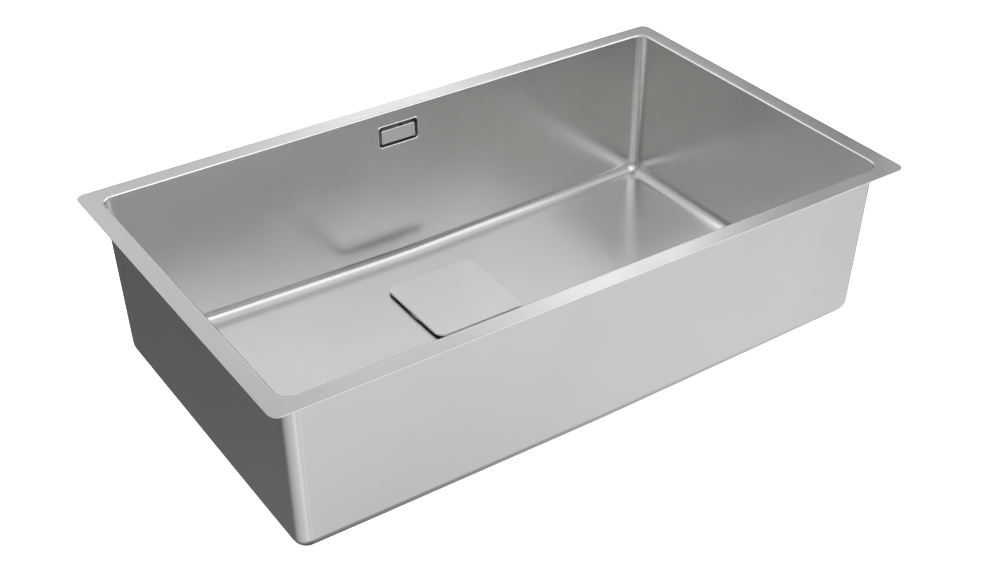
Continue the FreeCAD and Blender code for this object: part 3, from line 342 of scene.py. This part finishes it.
def dressed(piece, slot, body, *replaced):
    piece.data.materials.clear()
    piece.data.materials.append(FINISHES[slot])
    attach(piece, body)
    if replaced:
        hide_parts(*replaced)
    put_down()
    return piece


# --- the bowl ---------------------------------------------------------------

def floor_fall(x, y):
    """How far the pressed floor lies below its end edges: it drains from all four walls."""
    side = math.sqrt(x * x + 0.0004) - 0.02
    falls = (0.00134 + 0.0299 * (0.310 - side),
             0.00442 + 0.0236 * (y + 0.178) - 0.0110 * side,
             0.00809 + 0.0266 * (0.178 - y) - 0.0213 * side)
    soft = 0.0008
    return -soft * math.log(sum(math.exp(-fall / soft) for fall in falls))


def drawn_round(piece, centre, radius, share):
    """Draws the selected loop a share of the way in to a circle."""
    mesh = bmesh.from_edit_mesh(piece.data)
    middle = Vector(centre)
    for point in mesh.verts:
        if point.select:
            goal = middle + (point.co.xy - middle).normalized() * radius
            point.co.xy = point.co.xy.lerp(goal, share)
    bmesh.update_edit_mesh(piece.data)


def make_bowl():
    bowl = block("sink_bowl", (0, 0, FLOOR_EDGE / 2), (*MOUTH, -FLOOR_EDGE))
    work_on(bowl, "FACE")
    pick(bowl, "faces", lambda face: face.normal.z > 0.9)
    bpy.ops.mesh.delete(type="FACE")
    # walls lean in towards the floor
    bpy.ops.mesh.select_mode(type="FACE")
    pick(bowl, "faces", lambda face: face.normal.z < -0.9)
    bpy.ops.transform.resize(value=(0.98338, 0.9705, 1), center_override=(0, 0, FLOOR_EDGE))
    # upright corners and the rounding into the floor
    work_on(bowl, "EDGE")
    pick(bowl, "edges", lambda edge: min(v.co.z for v in edge.verts) < -0.1)
    bpy.ops.mesh.bevel(offset=WALL_ROUND, segments=9, profile=0.5, affect="EDGES")
    # rows for the pressing of the floor, closer together round the drain
    rows = [((x, 0, 0), (1, 0, 0)) for x in spread(DRAIN_SQUARE, 8, 0.02167, 11)]
    rows += [((0, DRAIN_Y + y, 0), (0, 1, 0)) for y in spread(DRAIN_SQUARE, 8, 0.021, 8)
             if DRAIN_Y + y < 0.16]
    for place, across in rows:
        bpy.ops.mesh.select_all(action="SELECT")
        bpy.ops.mesh.bisect(plane_co=place, plane_no=across)
    # the rim: a narrow turn-out first, its bend rounded, then the flat ledge
    work_on(bowl, "EDGE")
    pick(bowl, "edges", lambda edge: edge.is_boundary)
    bpy.ops.mesh.extrude_region_move()
    bpy.ops.transform.resize(value=(TURN_OUT[0] / MOUTH[0], TURN_OUT[1] / MOUTH[1], 1),
                             center_override=(0, 0, 0))
    bpy.ops.mesh.select_all(action="DESELECT")
    hair = 0.00005
    pick(bowl, "edges", lambda edge: not edge.is_boundary
         and all(abs(v.co.z) < 1e-5 and len(v.link_faces) > 2
                 and abs(v.co.x) < MOUTH[0] / 2 + hair and abs(v.co.y) < MOUTH[1] / 2 + hair
                 for v in edge.verts)
         and any(abs(face.normal.z) < 0.5 for face in edge.link_faces))
    bpy.ops.mesh.bevel(offset=0.0014, segments=4, profile=0.5, affect="EDGES")
    put_down()
    ledge = sheet("ledge", *RIM, 0.010, 8)
    work_on(ledge, "FACE")
    bpy.ops.mesh.select_all(action="SELECT")
    bpy.ops.mesh.delete(type="ONLY_FACE")
    joined(bowl, ledge)
    work_on(bowl, "EDGE")
    pick(bowl, "edges", lambda edge: len(edge.link_faces) < 2)
    bpy.ops.mesh.bridge_edge_loops()
    # the floor round the drain: from the square of rows to a round
    bpy.ops.mesh.select_mode(type="FACE")
    bpy.ops.mesh.select_all(action="DESELECT")
    pick(bowl, "faces", lambda face: face.calc_center_median().z < IN_THE_FLOOR
         and abs(face.calc_center_median().x) < DRAIN_SQUARE
         and abs(face.calc_center_median().y - DRAIN_Y) < DRAIN_SQUARE)
    bpy.ops.mesh.delete(type="FACE")
    work_on(bowl, "EDGE")
    pick(bowl, "edges", lambda edge: len(edge.link_faces) < 2
         and all(v.co.z < IN_THE_FLOOR for v in edge.verts))
    for share in (1 / 3, 1 / 2, 1):
        bpy.ops.mesh.extrude_region_move()
        drawn_round(bowl, (0, DRAIN_Y), RECESS, share)
    # press the floor down towards the drain
    put_down()
    for point in bowl.data.vertices:
        if point.co.z < IN_THE_FLOOR:
            point.co.z -= floor_fall(point.co.x, point.co.y)
    # the round recess that the drain is clamped in
    work_on(bowl, "EDGE")
    pick(bowl, "edges", lambda edge: edge.is_boundary and all(
        v.co.z < IN_THE_FLOOR for v in edge.verts))
    before = RECESS
    for radius, level in ((0.0584, None), (0.0574, SEAT + 0.0003), (0.0569, SEAT), (0.045, SEAT)):
        bpy.ops.mesh.extrude_region_move()
        bpy.ops.transform.resize(value=(radius / before, radius / before, 1),
                                 center_override=(0, DRAIN_Y, 0))
        if level is None:
            bpy.ops.transform.translate(value=(0, 0, -0.0002))
        else:
            bpy.ops.transform.resize(value=(1, 1, 0), center_override=(0, DRAIN_Y, level))
        before = radius
    bpy.ops.mesh.select_all(action="SELECT")
    bpy.ops.mesh.normals_make_consistent(inside=False)
    put_down()
    return bowl


def spread(inner, count, coarse, more):
    """Places either side of the middle: in fine steps out to inner, coarse beyond."""
    near = [inner / count * step for step in range(count + 1)]
    far = [inner + coarse * step for step in range(1, more + 1)]
    right = near + far
    return sorted(set([-place for place in right] + right))


def open_shell_up(piece, place, way):
    """Turns an open shell's faces so that the face nearest a place looks the way wanted."""
    near = min(piece.data.polygons, key=lambda face: (face.center - Vector(place)).length)
    if near.normal.dot(Vector(way)) < 0:
        work_on(piece, "FACE")
        bpy.ops.mesh.select_all(action="SELECT")
        bpy.ops.mesh.flip_normals()
        put_down()


bowl = make_bowl()
open_shell_up(bowl, (0.2, -0.1, -0.19), (0, 0, 1))
wall = bowl.modifiers.new("sheet", "SOLIDIFY")
wall.thickness, wall.offset, wall.use_even_offset = STEEL, -1, True
apply_all(bowl)
hole = moved(raised(sheet("hole", 0.0530, 0.0266, 0.0042, 6, -0.01), 0.02), (0, 0.0006, 0))
apply_place(hole, OVERFLOW, (math.pi / 2 - LEAN, 0, 0))
cut(bowl, hole)
softened(bowl, 0.00022, 2, 60)
smoothed(bowl, 38)
dressed(bowl, "bowl_steel", "sink", "bowl")


# --- cover over the drain ----------------------------------------------------

def make_cover():
    cover = raised(sheet("drain_cover", 0.116, 0.116, 0.011, 12, COVER_UNDER), COVER_THICK)
    work_on(cover, "EDGE")
    pick(cover, "edges", lambda edge: all(
        v.co.z > COVER_UNDER + COVER_THICK - 0.0001 for v in edge.verts))
    bpy.ops.mesh.bevel(offset=0.0006, segments=4, profile=0.5, affect="EDGES")
    bpy.ops.mesh.select_all(action="DESELECT")
    pick(cover, "edges", lambda edge: all(v.co.z < COVER_UNDER + 0.0001 for v in edge.verts))
    bpy.ops.mesh.bevel(offset=0.0003, segments=2, profile=0.5, affect="EDGES")
    put_down()
    return apply_place(cover, (0, DRAIN_Y + 0.0008, 0))


cover = smoothed(make_cover(), 50)
dressed(cover, "cover_steel", "cover", "cover_plate")
cover.data.materials.append(FINISHES["fastener_steel"])   # painted shade: the plate's rounded edges and sides get the darker fastener steel, a painted dark line round the cover
# painted shade on every face that is not level: the edge fillets and the sides
for face in cover.data.polygons:
    if abs(face.normal.z) < 0.97:
        face.material_index = 1


# --- overflow -----------------------------------------------------------------

def at_overflow(piece):
    """From lying flat, seen from above, to standing in the rear wall and facing the bowl."""
    return apply_place(piece, OVERFLOW, (math.pi / 2 - LEAN, 0, 0))


def make_trim():
    """A sleeve through the wall with a narrow rounded bead round its mouth."""
    trim = sheet("overflow_frame", 0.0542, 0.0278, 0.0048, 8, 0.0)
    work_on(trim, "FACE")
    bpy.ops.mesh.select_all(action="SELECT")
    bpy.ops.mesh.delete(type="ONLY_FACE")
    outline = ((0.0542, 0.0278, 0.0), (0.0541, 0.0277, 0.00040), (0.0537, 0.0273, 0.00066),
               (0.0531, 0.0267, 0.00078), (0.0525, 0.0261, 0.00070), (0.0520, 0.0256, 0.00045),
               (0.0518, 0.0254, 0.0), (0.0518, 0.0254, -0.0090), (0.0528, 0.0264, -0.0090),
               (0.0528, 0.0264, 0.0), (0.0542, 0.0278, 0.0))
    steps = []
    for (length, width, level), (more, wide, up) in zip(outline, outline[1:]):
        steps.append((more / length, wide / width, up - level))
    stretched(trim, steps)
    close_up(trim)
    return at_overflow(moved(trim, (0, 0.0006, 0)))


def make_plate():
    plate = raised(sheet("overflow_face", 0.044, 0.0166, 0.0012, 6, -0.0009), 0.0013)
    return at_overflow(softened(plate, 0.0005, 4, 40))


trim = dressed(smoothed(make_trim(), 45), "trim_steel", "sink", "overflow_trim")
trim.data.materials.append(FINISHES["nut_plastic"])       # painted shade: the sleeve's walls get the black nut plastic, a dark sheet where the gap round the plate is only in shade
for face in trim.data.polygons:
    # painted shade on the sleeve's walls, the faces that do not look out of the wall
    if face.area > 0.00001 and abs(face.normal.y) < 0.5:
        face.material_index = 1
dressed(smoothed(make_plate(), 45), "trim_steel", "sink", "overflow_plate")


# --- overflow hose --------------------------------------------------------------

def make_hose():
    """A corrugated hose: smooth cuff, ribs down and round the bend, smooth cuff."""
    put_down()
    bpy.ops.mesh.primitive_circle_add(vertices=40, radius=0.0118)
    top = (0.216497, -0.063965)
    hose = apply_place(named("overflow_hose_run"), (0, *top), (-LEAN, 0, 0))
    work_on(hose, "EDGE")
    bpy.ops.mesh.select_all(action="SELECT")
    run = {"y": top[0], "z": top[1], "lean": LEAN, "wide": 0.0118}

    def ring(length, wide):
        step = (0, -math.sin(run["lean"]) * length, -math.cos(run["lean"]) * length)
        bpy.ops.mesh.extrude_region_move(TRANSFORM_OT_translate={"value": step})
        run["y"] += step[1]
        run["z"] += step[2]
        swell(wide)

    def swell(wide):
        grow = wide / run["wide"]
        if abs(grow - 1) > 1e-6:
            bpy.ops.transform.resize(value=(grow,) * 3, center_override=(0, run["y"], run["z"]))
        run["wide"] = wide

    def bend(angle, wide):
        bpy.ops.mesh.extrude_region_move()
        bpy.ops.transform.rotate(value=angle, orient_axis="X", center_override=(0, *middle))
        away = (run["y"] - middle[0], run["z"] - middle[1])
        run["y"] = middle[0] + away[0] * math.cos(angle) + away[1] * math.sin(angle)
        run["z"] = middle[1] - away[0] * math.sin(angle) + away[1] * math.cos(angle)
        run["lean"] += angle
        swell(wide)

    middle = (0.174340, -0.1955)
    ring(0.0016, 0.0118)
    ring(0.0, 0.0097)
    upper = 0.132795
    ribs = 15
    lead = upper - 0.0016 - ribs * 0.007
    ring(lead, 0.0097)
    profile = ((0.0012, 0.00985), (0.0008, 0.01055), (0.0009, 0.0110), (0.0012, 0.0110),
               (0.0009, 0.01055), (0.0008, 0.00985), (0.0012, 0.0097))
    for _ in range(ribs):
        for length, wide in profile:
            ring(length, wide)
    turn = math.pi / 2 - LEAN
    around = 8
    part = turn / around
    total = sum(length for length, _ in profile)
    for _ in range(around):
        for length, wide in profile:
            bend(part * length / total, wide)
    ring(0.0, 0.0097)
    rest = run["y"] - 0.1516
    ring(rest - 0.0016, 0.0097)
    ring(0.0, 0.0118)
    ring(0.0016, 0.0118)
    close_up(hose)
    wall = hose.modifiers.new("wall", "SOLIDIFY")
    wall.thickness, wall.offset = 0.0011, -1
    return apply_all(hose)


hose = make_hose()
dressed(smoothed(hose, 70), "hose_plastic", "sink", "overflow_hose")


# --- overflow body, studs and nuts --------------------------------------------------

def upright_at(piece, back, up):
    """Places an upright turned piece on the lean of the rear wall."""
    y = OVERFLOW[1] + back * math.cos(LEAN) + up * math.sin(LEAN)
    z = OVERFLOW[2] - back * math.sin(LEAN) + up * math.cos(LEAN)
    return apply_place(piece, (0, y, z), (-LEAN, 0, 0))


def threaded(name, radius, low, high, pitch, depth, sides=48, tip=0.0006):
    """A solid round bar with rolled threads."""
    outline = [(radius - depth, low), (radius - depth, low + tip)]
    level = low + tip
    while level + pitch < high - tip:
        outline += [(radius, level + 0.40 * pitch), (radius, level + 0.55 * pitch),
                    (radius - depth, level + 0.95 * pitch), (radius - depth, level + pitch)]
        level += pitch
    outline += [(radius - depth, high - tip), (radius - depth - tip, high), (0, high)]
    bar = turned(name, outline, sides)
    return filled(bar)


def filled(piece):
    work_on(piece, "EDGE")
    pick(piece, "edges", lambda edge: edge.is_boundary)
    bpy.ops.mesh.fill_holes(sides=0)
    bpy.ops.mesh.select_all(action="SELECT")
    bpy.ops.mesh.normals_make_consistent(inside=False)
    put_down()
    return piece


def copied(piece, name):
    take_up(piece)
    bpy.ops.object.duplicate()
    return named(name)


def make_overflow_body():
    body = raised(sheet("overflow_box", 0.060, 0.030, 0.005, 6, -0.006), -0.025)
    softened(body, 0.0012, 3, 60)
    flange = raised(sheet("flange", 0.074, 0.042, 0.007, 8, -0.003), -0.003)
    softened(flange, 0.0004, 2, 60)
    cut(body, flange, "UNION")
    for side in (-1, 1):
        boss = filled(turned("boss", [(0.0048, -0.0309), (0.0052, -0.0305), (0.0052, -0.004)], 32))
        moved(boss, (side * STUD_SIDE, 0, 0))
        cut(body, boss, "UNION")
    for place in (-0.022, 0.0, 0.022):
        rib = block("rib", (place, 0.0, -0.0185), (0.0014, 0.0315, 0.0244))
        softened(rib, 0.0004, 2, 60)
        cut(body, rib, "UNION")
    at_overflow(body)
    spout = turned("spout", [(0.0120, -0.0310), (0.0120, -0.0128)], 64)
    cut(body, upright_at(filled(spout), SPOUT_BACK, 0.0), "UNION")
    inside = at_overflow(raised(sheet("inside", 0.0552, 0.0252, 0.0026, 6, -0.002), -0.0266))
    cut(body, inside)
    bore = filled(turned("bore", [(0.0086, -0.0330), (0.0086, -0.0110)], 48))
    cut(body, upright_at(bore, SPOUT_BACK, 0.0))
    for side in (-1, 1):
        hole = filled(turned("stud_hole", [(0.0021, -0.034), (0.0021, -0.020)], 24))
        cut(body, at_overflow(moved(hole, (side * STUD_SIDE, 0, 0))))
    return body


def make_studs():
    stud = threaded("overflow_stud_pair", 0.0020, -0.0362, -0.0008, 0.0007, 0.00022, 24)
    other = copied(stud, "second_stud")
    moved(stud, (-STUD_SIDE, 0, 0))
    moved(other, (STUD_SIDE, 0, 0))
    return at_overflow(joined(stud, other))


def hex_nut(name, flat, low, high, bore, chamfer, sides=48):
    """A hexagon whose corners are turned off at both ends, with a round bore."""
    wide = flat / math.cos(math.pi / 6)
    nut = filled(turned(name, [(wide, low), (wide, high)], 6))
    end, shoulder, drop = flat - chamfer * 0.2, flat + chamfer * 0.4, chamfer * 0.35
    crown = filled(turned("crown", [
        (end, low), (shoulder, low + drop), (wide, low + chamfer),
        (wide, high - chamfer), (shoulder, high - drop), (end, high)], sides))
    cut(nut, crown, "INTERSECT")
    hole = filled(turned("hole", [(bore, low - 0.001), (bore, high + 0.001)], sides))
    return cut(nut, hole)


def make_stud_nuts():
    nut = hex_nut("overflow_stud_nuts", 0.0035, -0.0342, -0.0310, 0.00205, 0.0006, 32)
    other = copied(nut, "second_nut")
    moved(nut, (-STUD_SIDE, 0, 0))
    moved(other, (STUD_SIDE, 0, 0))
    return at_overflow(joined(nut, other))


def make_cap_nuts():
    """The cap nuts at the hose's two ends: a hexagon with an end wall."""
    nut = hex_nut("hose_cap_nuts", 0.0150, -0.0056, 0.0084, 0.0100, 0.0016, 64)
    thread = filled(turned("thread", [(0.0123, -0.0032), (0.0123, 0.0100)], 64))
    cut(nut, thread)
    softened(nut, 0.0003, 2, 40)
    other = copied(nut, "lower_nut")
    upright_at(nut, SPOUT_BACK, -0.0310)
    apply_place(other, (0, 0.150, HOSE_LEVEL), (math.pi / 2, 0, 0))
    return joined(nut, other)


dressed(smoothed(make_overflow_body(), 40), "waste_plastic", "sink", "overflow_body")
dressed(smoothed(make_studs(), 50), "fastener_steel", "sink", "overflow_studs")
dressed(smoothed(make_stud_nuts(), 40), "fastener_steel", "sink", "overflow_nuts")
dressed(smoothed(make_cap_nuts(), 40), "nut_plastic", "sink", "hose_nuts")


# --- waste body --------------------------------------------------------------------

def make_waste():
    outline = [(0.0470, -0.2025), (0.0576, -0.2025), (0.0580, -0.2029), (0.0580, -0.2061),
               (0.0576, -0.2065), (0.0508, -0.2065), (0.0500, -0.2073), (0.0500, -0.2440),
               (0.0498, -0.2456), (0.0492, -0.2469), (0.0482, -0.2479), (0.0262, -0.2626),
               (0.0250, -0.2636), (0.0243, -0.2649), (0.0239, -0.2668)]
    level = -0.2672
    while level > -0.2870:
        outline += [(0.0239, level), (0.0231, level - 0.0008), (0.0231, level - 0.0011),
                    (0.0239, level - 0.0019)]
        level -= 0.0023
    outline += [(0.0233, -0.2892), (0.0229, -0.2895), (0.0198, -0.2895), (0.0195, -0.2892),
                (0.0195, -0.2605), (0.0470, -0.2450), (0.0470, -0.2025)]
    waste = turned("waste_housing", outline, 96)
    moved(waste, (0, DRAIN_Y, 0))
    port = filled(turned("port", [
        (0.0120, -0.1020), (0.0120, -0.0690), (0.0126, -0.0675), (0.0126, -0.0650),
        (0.0120, -0.0635), (0.0120, 0.0)], 64))
    apply_place(port, (0, 0.048, HOSE_LEVEL), (math.pi / 2, 0, 0))
    hollow = filled(turned("hollow", [(0.0470, -0.2750), (0.0470, -0.1900)], 96))
    cut(port, moved(hollow, (0, DRAIN_Y, 0)))
    cut(waste, port, "UNION")
    bore = filled(turned("bore", [(0.0086, -0.1100), (0.0086, 0.0)], 48))
    apply_place(bore, (0, 0.048, HOSE_LEVEL), (math.pi / 2, 0, 0))
    cut(waste, bore)
    # the boss for the clamping screw, on four webs
    boss = filled(turned("boss", [(0.0080, -0.2605), (0.0080, -0.2431), (0.0076, -0.2427)], 40))
    web = block("web", (0.0266, 0, -0.2500), (0.0450, 0.0030, 0.0130))
    softened(web, 0.0003, 2, 60)
    repeated(web, 4)
    cone = filled(turned("cone", [(0.0240, -0.2640), (0.0240, -0.2605), (0.0490, -0.2450),
                                  (0.0490, -0.2300)], 64))
    cut(web, cone, "INTERSECT")
    cut(boss, web, "UNION")
    socket = filled(turned("socket", [(0.00583, -0.2558), (0.00583, -0.2400)], 6))
    cut(boss, socket)
    moved(boss, (0, DRAIN_Y, 0))
    # gussets under the flange
    gusset = block("gusset", (0.0530, 0, -0.2112), (0.0080, 0.0020, 0.0110))
    work_on(gusset, "EDGE")
    pick(gusset, "edges", lambda edge: all(v.co.x > 0.056 and v.co.z < -0.216 for v in edge.verts))
    bpy.ops.transform.translate(value=(-0.0064, 0, 0))
    put_down()
    softened(gusset, 0.0003, 2, 60)
    repeated(gusset, 6)
    moved(gusset, (0, DRAIN_Y, 0))
    return joined(waste, boss, gusset)


dressed(smoothed(make_waste(), 40), "waste_plastic", "sink", "waste_body")


# --- strainer and basket -------------------------------------------------------------

def make_strainer():
    outline = [(0.0560, -0.1982), (0.0560, -0.1975), (0.0557, -0.1972), (0.0453, -0.1972),
               (0.0445, -0.1975), (0.0407, -0.2011), (0.0401, -0.2019), (0.0400, -0.2030),
               (0.0400, -0.2345), (0.0397, -0.2361), (0.0389, -0.2373), (0.0377, -0.2380),
               (0.0362, -0.2382), (0.0031, -0.2382), (0.0031, -0.2392), (0.0362, -0.2392),
               (0.0381, -0.2389), (0.0396, -0.2381), (0.0407, -0.2366), (0.0410, -0.2345),
               (0.0410, -0.2020), (0.0445, -0.1985), (0.0450, -0.1982), (0.0560, -0.1982)]
    strainer = turned("strainer_bowl", outline, 96)
    window = sheet("window", 0.0095, 0.0105, 0.0012, 4, -0.2420)
    work_on(window, "VERT")
    pick(window, "verts", lambda point: point.co.x > 0)
    bpy.ops.transform.resize(value=(1, 1.45, 1), center_override=(0, 0, 0))
    put_down()
    raised(window, 0.0060)
    moved(window, (0.0145, 0, 0))
    work_on(window, "VERT")
    bpy.ops.mesh.select_all(action="SELECT")
    bpy.ops.transform.rotate(value=math.pi / 6, orient_axis="Z", center_override=(0, 0, 0))
    put_down()
    cut(strainer, repeated(window, 6))
    return moved(softened(strainer, 0.00012, 2, 60), (0, DRAIN_Y, 0))


def make_basket():
    outline = [(0.0431, -0.1974), (0.0437, -0.1974), (0.0437, -0.1977), (0.0387, -0.2028),
               (0.0382, -0.2038), (0.0382, -0.2262), (0.0379, -0.2277), (0.0370, -0.2287),
               (0.0355, -0.2292), (0.00305, -0.2292), (0.00305, -0.2284), (0.0355, -0.2284),
               (0.0366, -0.2280), (0.0372, -0.2272), (0.0374, -0.2262), (0.0374, -0.2038),
               (0.0380, -0.2023), (0.0426, -0.1977), (0.0431, -0.1974)]
    basket = turned("basket_bowl", outline, 96)
    slot = sheet("slot", 0.0140, 0.0030, 0.00145, 6, 0.030)
    raised(slot, 0.015)
    apply_place(slot, (0, 0, -0.2158), (0, math.pi / 2, 0))
    cut(basket, repeated(slot, 12))
    slot = raised(sheet("floor_slot", 0.0048, 0.0024, 0.00115, 6, -0.2320), 0.0060)
    moved(slot, (0.0310, 0, 0))
    cut(basket, repeated(slot, 18))
    slot = raised(sheet("inner_slot", 0.0060, 0.0024, 0.00115, 6, -0.2320), 0.0060)
    moved(slot, (0.0215, 0, 0))
    cut(basket, repeated(slot, 12))
    return moved(softened(basket, 0.0001, 2, 60), (0, DRAIN_Y, 0))


def make_knob():
    outline = [(0.0055, -0.2284), (0.0062, -0.2284), (0.0066, -0.2279), (0.0058, -0.2270),
               (0.0055, -0.2258), (0.0055, -0.2050), (0.0058, -0.2035), (0.0068, -0.2020),
               (0.0082, -0.2011), (0.0088, -0.2004), (0.0090, -0.1995), (0.0090, -0.1985),
               (0.0087, -0.1976), (0.0080, -0.1970), (0.0068, -0.1967), (0.0030, -0.1967),
               (0.0, -0.1967)]
    return moved(filled(turned("basket_grip", outline, 64)), (0, DRAIN_Y, 0))


def make_plug():
    outline = [(0.00305, -0.2292), (0.0270, -0.2292), (0.0270, -0.2360), (0.0266, -0.2376),
               (0.0256, -0.2382), (0.0242, -0.2382), (0.0232, -0.2376), (0.0230, -0.2360),
               (0.0230, -0.2322), (0.0226, -0.2314), (0.00305, -0.2314), (0.00305, -0.2292)]
    return moved(turned("basket_plug", outline, 80), (0, DRAIN_Y, 0))


def make_cover_ring():
    outline = [(0.0357, COVER_UNDER), (0.0369, COVER_UNDER), (0.0369, -0.2032), (0.0367, -0.2036),
               (0.0363, -0.2037), (0.0359, -0.2036), (0.0357, -0.2032),
               (0.0357, COVER_UNDER)]
    ring = turned("cover_collar", outline, 96)
    slot = raised(sheet("slot", 0.0050, 0.0140, 0.0024, 6, 0.030), 0.015)
    apply_place(slot, (0, 0, -0.1995), (0, math.pi / 2, 0))
    cut(ring, repeated(slot, 4))
    return moved(ring, (0, DRAIN_Y, 0))


def make_feet():
    stand = -0.1954
    foot = raised(sheet("cover_pads", 0.009, 0.009, 0.0022, 6, stand), COVER_UNDER - stand)
    softened(foot, 0.0004, 3, 60)
    moved(foot, (0.047, 0.047, 0))
    return moved(repeated(foot, 4), (0, DRAIN_Y, 0))


dressed(smoothed(make_strainer(), 40), "strainer_steel", "sink", "strainer_cup")
dressed(smoothed(make_basket(), 40), "strainer_steel", "basket", "basket_cup")
dressed(smoothed(make_knob(), 50), "knob_steel", "basket", "basket_knob")
dressed(smoothed(make_plug(), 50), "rubber", "basket", "basket_seal")
dressed(smoothed(make_cover_ring(), 40), "cover_steel", "cover", "cover_ring")
dressed(smoothed(make_feet(), 50), "rubber", "cover", "cover_feet")


# --- deadening pads under the floor ---------------------------------------------------

def make_pad(name, middle):
    pad = sheet(name, 0.220, 0.260, 0.020, 8)
    moved(pad, (middle, 0, 0))
    work_on(pad, "VERT")
    for place in range(-110, 111, 20):
        bpy.ops.mesh.select_all(action="SELECT")
        bpy.ops.mesh.bisect(plane_co=(middle + place / 1000, 0, 0), plane_no=(1, 0, 0))
    for place in range(-130, 131, 20):
        bpy.ops.mesh.select_all(action="SELECT")
        bpy.ops.mesh.bisect(plane_co=(0, place / 1000, 0), plane_no=(0, 1, 0))
    put_down()
    raised(pad, -0.0025)
    for point in pad.data.vertices:
        fall = max(floor_fall(point.co.x, point.co.y), 0)
        point.co.z += FLOOR_EDGE - 0.00105 - fall
    return softened(pad, 0.0006, 2, 60)


for side, middle in (("left", -0.200), ("right", 0.200)):
    pad = smoothed(make_pad("deadening_pad_" + side, middle), 40)
    dressed(pad, "sound_pad", "sink", "sound_pad_" + side)


# --- carried over as they are -----------------------------------------------------

KEPT = {
    "strainer_seal_top": "seal_foam", "strainer_seal_under": "rubber",
    "basket_nut": "fastener_steel", "basket_stem": "fastener_steel",
    "centre_screw": "fastener_steel", "screw_insert": "brass", "overflow_gasket": "rubber",
    "hose_seals": "rubber",
}
for name, slot in KEPT.items():
    node = nodes[name]
    if not node.material_slots:
        node.data.materials.append(FINISHES[slot])
    for place in node.material_slots:
        place.material = FINISHES[slot]


# --- studio ----------------------------------------------------------------------

def heading(turn, rise):
    """A direction: degrees from straight back round to the right, and above the level."""
    a, e = math.radians(turn), math.radians(rise)
    return (math.sin(a) * math.cos(e), math.cos(a) * math.cos(e), math.sin(e))


def light_studio(boxes):
    """Soft boxes: where each stands, its core and its faded edge in degrees, and how bright."""
    world = bpy.data.worlds.new("studio")
    bpy.context.scene.world = world
    world.use_nodes = True
    tree = world.node_tree
    way = tree.nodes.new("ShaderNodeTexCoord").outputs["Generated"]

    def number(kind, first, second):
        node = tree.nodes.new("ShaderNodeMath")
        node.operation = kind
        for place, value in enumerate((first, second)):
            if isinstance(value, (int, float)):
                node.inputs[place].default_value = value
            else:
                tree.links.new(value, node.inputs[place])
        return node.outputs[0]

    def risen(value, start, stop, most):
        node = tree.nodes.new("ShaderNodeMapRange")
        node.interpolation_type = "SMOOTHSTEP"
        for socket, amount in (("From Min", start), ("From Max", stop), ("To Max", most)):
            node.inputs[socket].default_value = amount
        tree.links.new(value, node.inputs["Value"])
        return node.outputs["Result"]

    total = 0.0
    for turn, rise, core, fade, bright in boxes:
        dot = tree.nodes.new("ShaderNodeVectorMath")
        dot.operation = "DOT_PRODUCT"
        dot.inputs[1].default_value = heading(turn, rise)
        tree.links.new(way, dot.inputs[0])
        total = number("ADD", total, risen(
            dot.outputs["Value"], math.cos(math.radians(fade)), math.cos(math.radians(core)),
            bright))
    total = number("MAXIMUM", total, 0.02)
    tree.links.new(total, tree.nodes["Background"].inputs["Strength"])
    tree.nodes["Background"].inputs["Color"].default_value = (1, 1, 1.01, 1)


light_studio((
    # behind the sink, over the rim: broad panels and one narrow slanting strip
    (5, 30, 3, 13, 0.605),
    (16, 30, 3, 13, 0.375),
    (26, 30, 3, 13, 0.496),
    (35, 30, 3, 13, 0.293),
    (54, 30, 3, 13, 0.242),
    (66, 30, 3, 13, 1.779),
    (28, 25.3, 0.5, 5.5, 0.550),
    (31, 27.3, 0.5, 5.5, 0.950),
    (40, 32.9, 0.5, 5.5, 1.950),
    (43, 34.6, 0.5, 5.5, 0.221),
    (-30, 30, 10, 40, 1.718),
    (85, 32, 6, 28, 3.500),
    # overhead
    (35, 62, 8, 28, 1.139),
    (90, 62, 8, 28, 0.345),
    (146, 60, 8, 28, 0.635),
    (205, 60, 10, 35, 0.592),
    # over the front, into the bowl
    (128, 32, 5, 22, 1.300),
    (146, 32, 5, 22, 0.200),
    (168, 32, 5, 22, 1.520),
    (205, 32, 14, 42, 0.838),
    (-95, 32, 14, 45, 0.459),
    (146, 6, 5, 24, 3.500),
    (178, 6, 6, 26, 3.500),
    # low, for the outer walls
    (125, -30, 8, 28, 0.600),
    (150, -36, 8, 28, 0.345),
    (178, -34, 10, 32, 0.680),
    (217, -40, 8, 28, 0.170),
    (235, -34, 15, 48, 0.570),
    (-34, -34, 15, 50, 0.122),
    (26, -30, 10, 30, 0.420),
    (108, -58, 8, 24, 0.160),
    (80, -34, 12, 40, 0.589),
    (0, -90, 20, 60, 0.130),
))

put_down()
bpy.ops.mesh.primitive_plane_add(size=14, location=(0, 0, STUDIO_FLOOR))
floor = named("studio_floor")
bpy.ops.object.transform_apply(location=True, rotation=True, scale=True)
pale = Finish("studio_floor")
pale.shade(pale.grain((2, 2, 2)), (0.90, 0.90, 0.90), (0.92, 0.92, 0.92))
pale.set(Roughness=0.9, Emission_Strength=0.93)
pale.shader.inputs["Emission Color"].default_value = (1, 1, 1, 1)
floor.data.materials.append(pale.material)
floor.visible_glossy = False

view = bpy.data.cameras.new("view")
view.sensor_width, view.lens, view.clip_start, view.clip_end = 36.0, 55.13, 0.01, 100.0
camera = bpy.data.objects.new("view", view)
bpy.context.scene.collection.objects.link(camera)
camera.location = (-0.7775, -1.1431, 0.8030)
turn, rise = math.radians(34.356), math.radians(-33.847)
ahead = Vector((math.sin(turn) * math.cos(rise), math.cos(turn) * math.cos(rise), math.sin(rise)))
camera.rotation_mode = "QUATERNION"
camera.rotation_quaternion = ahead.to_track_quat("-Z", "Y")
bpy.context.scene.camera = camera
bpy.context.scene.view_settings.view_transform = "Standard"
